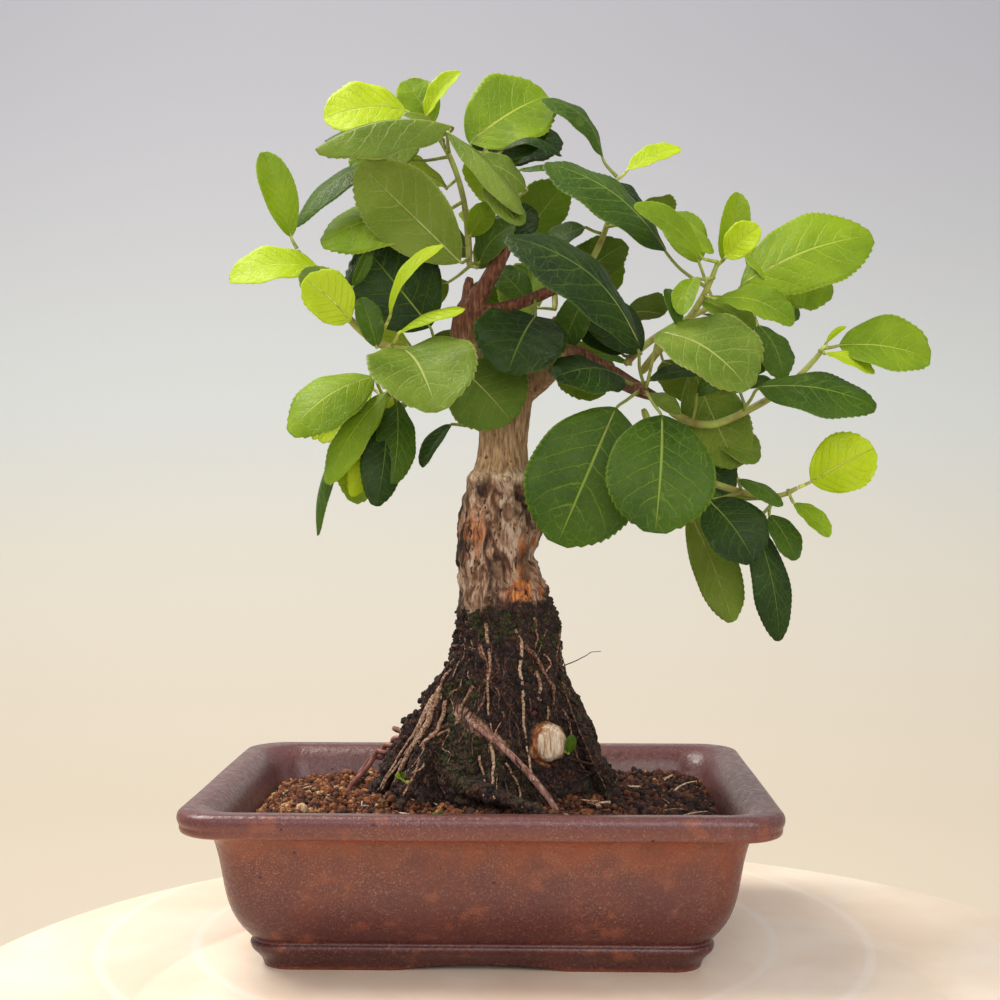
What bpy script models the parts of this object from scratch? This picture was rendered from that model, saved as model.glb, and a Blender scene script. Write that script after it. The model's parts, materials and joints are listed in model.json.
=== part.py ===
"""A small apple-type bonsai in its glazed rectangular pot.

The pot stands on the ground plane. Inside it lie two drainage meshes, the soil, and the wire that ties
the tree in. The trunk with its roots and woody branches is one grown piece, and so is each green shoot
and each leaf. Every size and point below is in millimetres, measured from the middle of the pot's foot
plane, with X to the right, Y to the back and Z up. A mesh becomes metres when it is made. The tree's
points have the soil's edge at TREE_SOIL, and the whole tree moves up or down with the soil in its pot.
"""

import math

import bmesh
import bpy
from mathutils import Vector

MM = 0.001
GAP = 0.3  # clearance between two pieces that touch
PLACE = (-26.0, 0.0)  # where the pot's middle stands, so that the crown and pot balance round the origin

# ---- pot ----
RIM_WIDTH = 186.0
RIM_DEPTH = 136.0
RIM_CORNER = 14.0
CORNER_STEPS = 5
RIM_HEIGHT = 53.0
LIP_HEIGHT = 7.6
LIP_OVERHANG = 8.5
LIP_TOP = 7.0  # width of the flat top of the lip
BELLY_INSET = 11.0
FOOT_INSET = 23.5
FOOT_HEIGHT = 8.0
WALL = 5.0
FLOOR_BASE = 7.0
FLOOR_TOP = FLOOR_BASE + WALL
FOOT_WALL = 7.0
ARCH_WIDTH = 52.0
ARCH_HEIGHT = 2.0
DRAIN_RADIUS = 8.0
DRAIN_FROM_WALL = 19.0  # from a drain hole's middle to where the wall meets the floor
FLOOR_INSET = BELLY_INSET + WALL + 13.0
DRAIN_OFFSET = RIM_WIDTH / 2 - FLOOR_INSET - DRAIN_FROM_WALL

# ---- wire ----
WIRE_RADIUS = 1.0
TWIST_RADIUS = WIRE_RADIUS + 0.25

# ---- drainage mesh ----
MESH_HOLE = 2 * WIRE_RADIUS + 4 * GAP  # the wire goes through the middle hole
MESH_RIB = 1.4
MESH_HOLES = 5
MESH_THICK = 1.2
MESH_SIZE = MESH_HOLES * MESH_HOLE + (MESH_HOLES + 1) * MESH_RIB

# ---- soil ----
SOIL_BELOW_RIM = 11.0
SOIL_EDGE = RIM_HEIGHT - SOIL_BELOW_RIM
TREE_SOIL = 42.0
LIFT = SOIL_EDGE - TREE_SOIL
SOIL_MOUND = 8.0  # how far the soil rises from the wall to the trunk
SOIL_LUMP = 0.8
WIRE_GROUND = (-48.0, 5.0, 46.0 + LIFT)  # where the wire's front leg comes out of the soil

# ---- leaves ----
LEAF_THICK = 0.9
PETIOLE_WIDTH = 1.5
PETIOLE_SHARES = (0.0, 0.5, 0.9)  # stations along the leaf stalk
BLADE_SHARES = (0.0, 0.1, 0.26, 0.46, 0.67, 0.86)  # stations along the blade, short of its tip
BLADE_WIDTHS = (0.14, 0.46, 0.8, 0.98, 0.98, 0.72)  # width at those stations, as a share of the full width


# ---------------------------------------------------------------- helpers


def clear_scene():
    for old in list(bpy.data.objects):
        bpy.data.objects.remove(old, do_unlink=True)


def material(name, colour, roughness, metallic=0.0):
    made = bpy.data.materials.new(name)
    made.use_nodes = True
    shader = made.node_tree.nodes["Principled BSDF"]
    shader.inputs["Base Color"].default_value = (*colour, 1.0)
    shader.inputs["Roughness"].default_value = roughness
    shader.inputs["Metallic"].default_value = metallic
    return made


def solid(name, points, faces, finish, smooth=True):
    """One closed mesh object from points in millimetres, carried by the pot's stand."""
    mesh = bpy.data.meshes.new(name)
    mesh.from_pydata([Vector(p) * MM for p in points], [], faces)
    work = bmesh.new()
    work.from_mesh(mesh)
    bmesh.ops.recalc_face_normals(work, faces=work.faces)
    work.to_mesh(mesh)
    work.free()
    mesh.materials.append(finish)
    if smooth:
        mesh.shade_smooth()
        mesh.set_sharp_from_angle(angle=math.radians(40))
    made = bpy.data.objects.new(name, mesh)
    made.parent = stand
    bpy.context.scene.collection.objects.link(made)
    return made


def empty(name, place):
    made = bpy.data.objects.new(name, None)
    made.location = Vector(place) * MM
    bpy.context.scene.collection.objects.link(made)
    return made


def hide(helper):
    helper.hide_render = True
    helper.display_type = "WIRE"


def combine(target, helpers, operation):
    """Joins the helpers to the target, or cuts them from it, and hides them."""
    group = bpy.data.collections.new(target.name + "_" + operation.lower())
    bpy.context.scene.collection.children.link(group)
    for helper in helpers:
        hide(helper)
        bpy.context.scene.collection.objects.unlink(helper)
        group.objects.link(helper)
    boolean = target.modifiers.new(operation.title(), "BOOLEAN")
    boolean.operation = operation
    boolean.operand_type = "COLLECTION"
    boolean.collection = group
    boolean.solver = "EXACT"


def blend(a, b, share):
    return [u + (v - u) * share for u, v in zip(a, b)]


def spline(stations, steps):
    """A smooth line through stations, rows of any length, with this many steps between two of them."""
    rows = [blend(stations[1], stations[0], 2.0), *stations, blend(stations[-2], stations[-1], 2.0)]
    line = []
    for a, b, c, d in zip(rows, rows[1:], rows[2:], rows[3:]):
        for step in range(steps):
            t = step / steps
            line.append([catmull(*values, t) for values in zip(a, b, c, d)])
    line.append(list(stations[-1]))
    return line


def catmull(a, b, c, d, t):
    cubic = 3 * (b - c) + d - a
    square = 2 * a - 5 * b + 4 * c - d
    return b + 0.5 * t * (c - a + t * (square + t * cubic))


def directions(centres):
    found = []
    for i in range(len(centres)):
        ahead = centres[min(i + 1, len(centres) - 1)]
        behind = centres[max(i - 1, 0)]
        found.append((ahead - behind).normalized())
    return found


def sweep(name, line, sides, finish, grow=0.0, ridges=(0, 0.0, 0.0)):
    """A closed tube along rows (x, y, z, radius) or (x, y, z, radius across, radius deep).

    ridges holds how many ridges run round it, how deep they are as a share, and their turn per millimetre.
    """
    centres = [Vector(row[:3]) for row in line]
    ridge_count, ridge_depth, ridge_turn = ridges
    side = Vector((1, 0, 0)) if abs(directions(centres)[0].x) < 0.8 else Vector((0, 1, 0))
    points = []
    for row, centre, ahead in zip(line, centres, directions(centres)):
        side = (side - ahead * side.dot(ahead)).normalized()
        across = ahead.cross(side)
        for k in range(sides):
            angle = math.tau * k / sides
            swell = 1 + ridge_depth * math.sin(ridge_count * angle + ridge_turn * centre.z)
            offset = side * math.cos(angle) * (row[3] * swell + grow)
            offset += across * math.sin(angle) * (row[-1] * swell + grow)
            points.append(centre + offset)
    return solid(name, points, ring_faces(len(line), sides), finish)


def ring_faces(rings, sides, caps=True):
    """The quads between rings of points, with a flat cap at each end."""
    faces = []
    for ring in range(rings - 1):
        for k in range(sides):
            a = ring * sides + k
            b = ring * sides + (k + 1) % sides
            faces.append((a, b, b + sides, a + sides))
    if caps:
        faces.append(tuple(reversed(range(sides))))
        faces.append(tuple(range((rings - 1) * sides, rings * sides)))
    return faces


def box(name, low, high, finish):
    corners = [(x, y, z) for z in (low[2], high[2]) for x, y in
               ((low[0], low[1]), (high[0], low[1]), (high[0], high[1]), (low[0], high[1]))]
    return solid(name, corners, ring_faces(2, 4), finish, smooth=False)


def post(name, x, low, high, radius, finish):
    return sweep(name, [(x, 0.0, low, radius), (x, 0.0, high, radius)], 20, finish)


# ---------------------------------------------------------------- pot


def pot_ring(inset, height):
    """One level of the pot: a rounded rectangle this far inside the rim's outline."""
    half_x = RIM_WIDTH / 2 - inset
    half_y = RIM_DEPTH / 2 - inset
    radius = RIM_CORNER - 0.2 * inset
    ring = []
    for quarter in range(4):
        sign_x = 1 if quarter in (0, 3) else -1
        sign_y = 1 if quarter in (0, 1) else -1
        for step in range(CORNER_STEPS + 1):
            angle = math.pi / 2 * (quarter + step / CORNER_STEPS)
            x = sign_x * (half_x - radius) + radius * math.cos(angle)
            y = sign_y * (half_y - radius) + radius * math.sin(angle)
            ring.append((x, y, height))
    return ring


RING_POINTS = 4 * (CORNER_STEPS + 1)
LIP_BASE = RIM_HEIGHT - LIP_HEIGHT



def wall_level(share):
    """A height on the outer wall, from 0 at the top of the foot to 1 under the lip."""
    return FOOT_HEIGHT + share * (LIP_BASE - FOOT_HEIGHT)


def inner_level(share):
    """A height on the inner wall, from 0 at the floor to 1 beside the lip."""
    return FLOOR_TOP + share * (LIP_BASE - FLOOR_TOP)


# Each row is (inset from the rim's outline, height), up the outside.
POT_OUTSIDE = [
    (FOOT_INSET, 0.0),
    (FOOT_INSET - 0.8, 2.4),
    (FOOT_INSET - 2.4, 4.6),
    (FOOT_INSET - 3.6, 6.4),
    (FOOT_INSET - 3.8, FOOT_HEIGHT),
    (FOOT_INSET - 3.0, FOOT_HEIGHT + 0.9),
    (FOOT_INSET - 4.0, FOOT_HEIGHT + 2.4),
    (BELLY_INSET + 6.2, wall_level(0.15)),
    (BELLY_INSET + 3.6, wall_level(0.29)),
    (BELLY_INSET + 2.0, wall_level(0.44)),
    (BELLY_INSET + 0.9, wall_level(0.62)),
    (BELLY_INSET - 0.4, wall_level(0.81)),
    (LIP_OVERHANG + 0.6, LIP_BASE - 2.4),
    (LIP_OVERHANG - 1.0, LIP_BASE - 0.4),
    (1.9, LIP_BASE),
    (1.3, LIP_BASE + 0.6),
    (1.2, LIP_BASE + 2.2),
    (1.8, LIP_BASE + 2.7),
    (0.5, LIP_BASE + 3.3),
    (0.0, LIP_BASE + 5.0),
    (0.4, LIP_BASE + 6.6),
    (1.6, RIM_HEIGHT),
]

# The inside, down from the lip to the floor.
POT_INSIDE = [
    (LIP_TOP, RIM_HEIGHT - 0.3),
    (LIP_TOP + 2.4, RIM_HEIGHT - 1.8),
    (LIP_TOP + 4.6, RIM_HEIGHT - 4.6),
    (LIP_TOP + 6.4, inner_level(0.94)),
    (BELLY_INSET + WALL + 0.4, inner_level(0.7)),
    (BELLY_INSET + WALL + 2.2, inner_level(0.41)),
    (BELLY_INSET + WALL + 5.2, inner_level(0.18)),
    (BELLY_INSET + WALL + 9.2, inner_level(0.05)),
    (FLOOR_INSET, FLOOR_TOP),
]


def inside_inset(height):
    """How far the pot's inner face is inside the rim's outline at this height."""
    for (inset_a, high), (inset_b, low) in zip(POT_INSIDE, POT_INSIDE[1:]):
        if low <= height <= high:
            return inset_a + (inset_b - inset_a) * (high - height) / (high - low)
    return POT_INSIDE[-1][0]


def make_pot():
    points = []
    for inset, height in POT_OUTSIDE + POT_INSIDE:
        points += pot_ring(inset, height)
    outer_rings = len(POT_OUTSIDE) + len(POT_INSIDE)
    faces = ring_faces(outer_rings, RING_POINTS, caps=False)
    last = (outer_rings - 1) * RING_POINTS
    faces.append(tuple(range(last, last + RING_POINTS)))
    # The hollow under the floor, inside the foot.
    start = len(points)
    points += pot_ring(FOOT_INSET + FOOT_WALL, 0.0)
    points += pot_ring(FOOT_INSET + FOOT_WALL + 1.0, FLOOR_BASE)
    for k in range(RING_POINTS):
        b = (k + 1) % RING_POINTS
        faces.append((b, k, start + k, start + b))
        faces.append((start + b, start + k, start + k + RING_POINTS, start + b + RING_POINTS))
    faces.append(tuple(range(start + RING_POINTS, start + 2 * RING_POINTS)))
    pot = solid("pot", points, faces, glaze)
    cutters = [foot_arch()]
    for side, x in (("left", -DRAIN_OFFSET), ("right", DRAIN_OFFSET)):
        cutters.append(post("hole_" + side, x, FLOOR_BASE - 2, FLOOR_TOP + 2, DRAIN_RADIUS, glaze))
    combine(pot, cutters, "DIFFERENCE")
    return pot


def foot_arch():
    """The shallow arch through the front and back of the foot."""
    arch_steps = 8
    outline = [(-ARCH_WIDTH / 2, -1.0)]
    for step in range(1, arch_steps):
        share = step / arch_steps
        outline.append(((share - 0.5) * ARCH_WIDTH, ARCH_HEIGHT * math.sin(math.pi * share) ** 0.7))
    outline.append((ARCH_WIDTH / 2, -1.0))
    points = [(x, y, z) for y in (RIM_DEPTH, -RIM_DEPTH) for x, z in outline]
    return solid("arch_cutter", points, ring_faces(2, len(outline)), glaze)


def make_drain_mesh(side, x):
    """A square of plastic mesh over one drain hole."""
    cells = 2 * MESH_HOLES + 1
    edges = [-MESH_SIZE / 2]
    for cell in range(cells):
        edges.append(edges[-1] + (MESH_HOLE if cell % 2 else MESH_RIB))
    low = FLOOR_TOP + GAP
    points = []
    for z in (low, low + MESH_THICK):
        points += [(x + u, v, z) for v in edges for u in edges]
    row = cells + 1
    level = row * row

    def filled(i, j):
        return 0 <= i < cells and 0 <= j < cells and not (i % 2 and j % 2)

    faces = []
    for j in range(cells):
        for i in range(cells):
            if not filled(i, j):
                continue
            a, b, c, d = j * row + i, j * row + i + 1, (j + 1) * row + i + 1, (j + 1) * row + i
            faces.append((a, d, c, b))
            faces.append((a + level, b + level, c + level, d + level))
            sides = (((0, -1), (a, b)), ((1, 0), (b, c)), ((0, 1), (c, d)), ((-1, 0), (d, a)))
            for (di, dj), (p, q) in sides:
                if not filled(i + di, j + dj):
                    faces.append((p, q, q + level, p + level))
    return solid("drain_mesh_" + side, points, faces, plastic, smooth=False)


# ---------------------------------------------------------------- trunk, roots and branches

# Each row is (x, y, z, half width, half depth), from the root ball up to the first fork.
TRUNK = [
    (3, 0, 22, 26, 20),
    (3, 0, 34, 33, 26),
    (3, -1, 47, 35, 28),
    (5, -2, 62, 30, 24),
    (6, -2, 75, 25.5, 21),
    (7, -2, 88, 21, 18.5),
    (8, -1, 99, 17.2, 16),
    (6.5, 0, 111, 16, 14.5),
    (3.2, 0, 126, 13, 12.5),
    (4, 0, 137, 14, 12.5),
    (4, 0, 147, 12, 11.5),
    (5.2, 0, 156, 9.8, 9.4),
    (5.6, 0, 166, 8.3, 8.3),
    (6.4, 0, 177, 8.8, 8.4),
    (8.5, 0, 187, 7.5, 7),
    (9.5, 0, 192, 3.5, 3.5),
]

# Woody limbs, rows of (x, y, z, radius). Each starts inside the wood that it grows from.
WOOD = {
    "limb_left": [(7, 0, 179, 6.2), (-1, -1, 191, 5.8), (-7, -2, 201, 5.2), (-6, -1, 212, 4.2),
                  (-5, 0, 216, 2.0)],
    "twig_tall": [(-6, -1, 210, 3.4), (0, -2, 220, 3.0), (6, -2, 231, 2.5), (8, -2, 235, 1.5)],
    "twig_short": [(-6, -1, 209, 3.0), (-6, 0, 217, 2.4), (-5.5, 1, 223, 1.4)],
    "twig_right": [(-5, -2, 209, 3.0), (10, -3, 213, 2.3), (23, -4, 218, 2.0), (32, -3, 222, 1.3)],
    "limb_right": [(8, 0, 181, 5.4), (18, -2, 188, 4.6), (28, -4, 196, 4.0), (38, -1, 192, 3.6),
                   (48, 4, 187, 3.2), (60, 2, 181, 1.5)],
    "spur_front": [(46, 3, 188, 2.6), (48, -6, 186, 2.3), (51, -14, 184, 1.9), (53, -20, 183, 1.4)],
    "spur_back": [(14, 1, 186, 3.6), (18, 12, 196, 2.8), (22, 22, 206, 2.2), (24, 28, 212, 1.3)],
}

# Roots that show above the soil, rows of (x, y, z, radius).
ROOTS = {
    "root_front": [(-8, -17, 77, 1.2), (-2, -24, 73, 1.5), (6, -27.5, 67.5, 1.7), (14, -30, 60, 1.8),
                   (21, -32, 52, 1.7), (27, -34, 43, 1.4)],
    "root_left": [(-8, -6, 92, 3.4), (-20, -8, 76, 3.0), (-28, -6, 62, 2.6), (-35, -3, 50, 2.4),
                  (-39, -2, 40, 2.0)],
    "root_right": [(20, -6, 92, 4.0), (30, -10, 74, 3.6), (38, -13, 58, 3.4), (46, -15, 44, 3.0),
                   (49, -16, 36, 2.4)],
    "root_low": [(-10, -22, 56, 2.4), (2, -32, 52.5, 2.6), (14, -37, 50, 2.4), (24, -40, 44, 2.0)],
    "root_corner": [(-14, -14, 72, 3.0), (-22, -22, 58, 2.6), (-28, -28, 46, 2.2), (-31, -31, 38, 2.0)],
    "root_back": [(-4, 12, 84, 4.0), (-14, 22, 64, 3.4), (-21, 29, 48, 3.0), (-25, 33, 38, 2.4)],
    "root_behind": [(14, 10, 86, 4.0), (22, 21, 64, 3.4), (28, 28, 48, 3.0), (31, 31, 38, 2.4)],
    "knob": [(17, -12, 68, 6.6), (20.5, -21, 68, 6.8), (21.6, -24.4, 68, 6.2), (22, -26.2, 68, 4.2)],
}


def trunk_pieces(prefix, finish, grow=0.0, above_ground=True):
    """The tubes that make the trunk, or with grow the space that its lower part needs in the soil."""
    bole = TRUNK if above_ground else TRUNK[:6]
    pieces = [sweep(prefix + "bole", spline(bole, 2), 16, finish, grow, ridges=(5, 0.05, 0.05))]
    for name, rows in ROOTS.items():
        pieces.append(sweep(prefix + name, spline(rows, 2), 8, finish, grow))
    if above_ground:
        for name, rows in WOOD.items():
            pieces.append(sweep(prefix + name, spline(rows, 3), 8, finish))
    for piece in pieces:
        piece.parent = tree
    return pieces


def make_trunk():
    bole, *others = trunk_pieces("wood_", bark)
    bole.name = "trunk"
    combine(bole, others, "UNION")
    return bole


# ---------------------------------------------------------------- soil and wire


def soil_height(x, y, share):
    """The soil's surface, with share 0 at the wall and 1 at the trunk."""
    lumps = math.sin(0.31 * x + 1.3) * math.cos(0.37 * y) + 0.6 * math.sin(0.83 * x - 0.6 * y)
    slope = 2.0 * x / RIM_WIDTH
    return SOIL_EDGE + SOIL_MOUND * share ** 0.7 + slope + SOIL_LUMP * lumps


def make_soil():
    points = []
    low = FLOOR_TOP + GAP
    high = SOIL_EDGE - 5.0
    bends = [height for _, height in reversed(POT_INSIDE) if low < height < high]
    levels = [low, *bends, high]
    for height in levels:
        points += pot_ring(inside_inset(height) + GAP, height)
    edge = inside_inset(levels[-1]) + GAP
    surface = (0.0, 0.22, 0.42, 0.62, 0.8)
    for share in surface:
        for x, y, _ in pot_ring(edge, 0.0):
            x *= 1 - share
            y *= 1 - share
            points.append((x, y, soil_height(x, y, share)))
    rings = len(levels) + len(surface)
    faces = ring_faces(rings, RING_POINTS, caps=False)
    faces.append(tuple(reversed(range(RING_POINTS))))
    last = (rings - 1) * RING_POINTS
    middle = len(points)
    points.append((0.0, 0.0, soil_height(0.0, 0.0, 1.0)))
    for k in range(RING_POINTS):
        faces.append((last + k, last + (k + 1) % RING_POINTS, middle))
    soil = solid("soil", points, faces, earth)
    cutters = trunk_pieces("soil_void_", earth, GAP, above_ground=False)
    cutters.append(sweep("soil_void_wire", wire_line(), 6, earth, 2 * GAP))
    half = MESH_SIZE / 2 + GAP
    top = FLOOR_TOP + 2 * GAP + MESH_THICK
    for side, x in (("left", -DRAIN_OFFSET), ("right", DRAIN_OFFSET)):
        corners = (x - half, -half, low - 1), (x + half, half, top)
        cutters.append(box("soil_void_mesh_" + side, *corners, earth))
    combine(soil, cutters, "DIFFERENCE")
    return soil


def wire_line():
    """The wire from its first twisted end, down through the soil and both drain holes, to its other end."""
    ground = Vector(WIRE_GROUND)
    under = FLOOR_BASE - GAP - WIRE_RADIUS
    twist_low = ground + Vector((11, -1, 13))
    twist_high = ground + Vector((20, -1, 20))
    first = twisted(twist_low, twist_high, 0.0)
    second = twisted(twist_low, twist_high, math.pi)
    in_floor = (FLOOR_BASE + FLOOR_TOP) / 2
    over_mesh = FLOOR_TOP + MESH_THICK + 3
    higher = over_mesh + 4
    down = [ground + Vector((7, 0, 8.5)), ground, (-47, 3, 33 + LIFT), (-DRAIN_OFFSET, 0, higher),
            (-DRAIN_OFFSET, 0, over_mesh), (-DRAIN_OFFSET, 0, in_floor)]
    below = [(2 - DRAIN_OFFSET, 0, under + 0.6), (5 - DRAIN_OFFSET, 0, under), (0, 0, under),
             (DRAIN_OFFSET - 5, 0, under), (DRAIN_OFFSET - 2, 0, under + 0.6)]
    up = [(DRAIN_OFFSET, 0, in_floor), (DRAIN_OFFSET, 0, over_mesh), (DRAIN_OFFSET, 0, higher),
          (50, 12, 31 + LIFT), (46, 27, 44 + LIFT)]
    behind = [(38, 33.5, 52.5), (22, 33, 57), (2, 31.5, 59), (-18, 32, 61), (-30, 22, 64), (-32.5, 12, 67)]
    behind = [(x, y, z + LIFT) for x, y, z in behind]
    route = [*reversed(first), *down, *below, *up, *behind, *reversed(second)]
    route.append(ground + Vector((8, 5, 11)))
    route.append(ground + Vector((3, 6, 4.5)))
    return [(*row, WIRE_RADIUS) for row in spline([tuple(p) for p in route], 3)]


def twisted(low, high, phase):
    """One strand of the twist, as points round the line from low to high."""
    twist_turns = 1.5
    points_a_turn = 6
    axis = (high - low).normalized()
    side = axis.cross(Vector((0, 1, 0))).normalized()
    across = axis.cross(side)
    count = int(twist_turns * points_a_turn)
    strand = []
    for i in range(count + 1):
        angle = phase + math.tau * i / points_a_turn
        offset = (side * math.cos(angle) + across * math.sin(angle)) * TWIST_RADIUS
        strand.append(low.lerp(high, i / count) + offset)
    return strand


# ---------------------------------------------------------------- shoots

# Each row is (x, y, z, radius). A shoot starts on the axis of the wood that carries it, and its stretch
# inside that wood is left out.
SHOOTS = {
    "crown_left": ("twig_short", [(-5.5, 1, 221, 1.3), (-6, 2, 236, 1.25), (-8, 2, 252, 1.1),
                                  (-13, 2, 266, 1.0), (-19, 3, 275, 0.8)]),
    "crown_middle": ("twig_tall", [(7.4, -2, 233, 1.3), (6, -1, 246, 1.2), (2, 1, 258, 1.1),
                                   (0, 3, 267, 0.8)]),
    "crown_right": ("twig_right", [(31, -3, 221, 1.3), (38, 1, 232, 1.2), (43, 4, 246, 1.0),
                                   (45, 7, 258, 0.8)]),
    "left": ("limb_left", [(-7, -2, 203, 1.8), (-20, -9, 198, 1.7), (-31, -14, 197, 1.6),
                           (-43, -16, 205, 1.4), (-54, -16, 219, 1.1), (-62, -15, 230, 0.8)]),
    "left_low": ("limb_left", [(-4, 0, 196, 1.6), (-18, 1, 194, 1.5), (-28, -2, 189, 1.3),
                               (-36, -4, 180, 0.9)]),
    "right_high": ("limb_right", [(50, 3.6, 186, 1.7), (58, -6, 197, 1.5), (67, -14, 206, 1.3),
                                  (73, -20, 216, 1.1), (76, -24, 224, 0.8)]),
    "right_far": ("limb_right", [(44, 2, 189, 1.6), (54, 6, 200, 1.4), (70, 7, 210, 1.2),
                                 (84, 6, 216, 1.0), (92, 6, 219, 0.8)]),
    "right": ("limb_right", [(57, 2.5, 182, 1.6), (66, 0, 175, 1.6), (76, -4, 172, 1.5),
                             (88, -7, 177, 1.4), (100, -10, 184, 1.2), (109, -12, 193, 1.0),
                             (112, -13, 197, 0.8)]),
    "right_low": ("limb_right", [(52, 3.2, 185, 1.5), (58, 6, 168, 1.5), (70, 2, 156, 1.4),
                                 (85, -5, 150, 1.2), (97, -9, 148, 1.0), (104, -11, 151, 0.8)]),
    "back": ("spur_back", [(23.4, 27, 211, 1.3), (24, 34, 222, 1.2), (20, 40, 236, 1.0),
                           (14, 42, 248, 0.8)]),
}


def line_distance(point, line):
    """How far a point is outside the tube along this line of (x, y, z, radius) rows."""
    nearest = math.inf
    for a, b in zip(line, line[1:]):
        start, end = Vector(a[:3]), Vector(b[:3])
        along = max(0.0, min(1.0, (point - start).dot(end - start) / (end - start).length_squared))
        radius = a[3] + (b[3] - a[3]) * along
        nearest = min(nearest, (point - start.lerp(end, along)).length - radius)
    return nearest


def shoot_line(name):
    """The shoot's rows from where it leaves the wood."""
    carrier, rows = SHOOTS[name]
    wood = spline(WOOD[carrier], 3)
    line = spline(rows, 8)
    while line_distance(Vector(line[0][:3]), wood) < GAP + line[0][3]:
        line.pop(0)
    return line[::4] if (len(line) - 1) % 4 == 0 else [*line[::4], line[-1]]


def make_shoots():
    for name in SHOOTS:
        sweep("shoot_" + name, shoot_line(name), 6, green_bark).parent = tree


# ---------------------------------------------------------------- leaves

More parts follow.
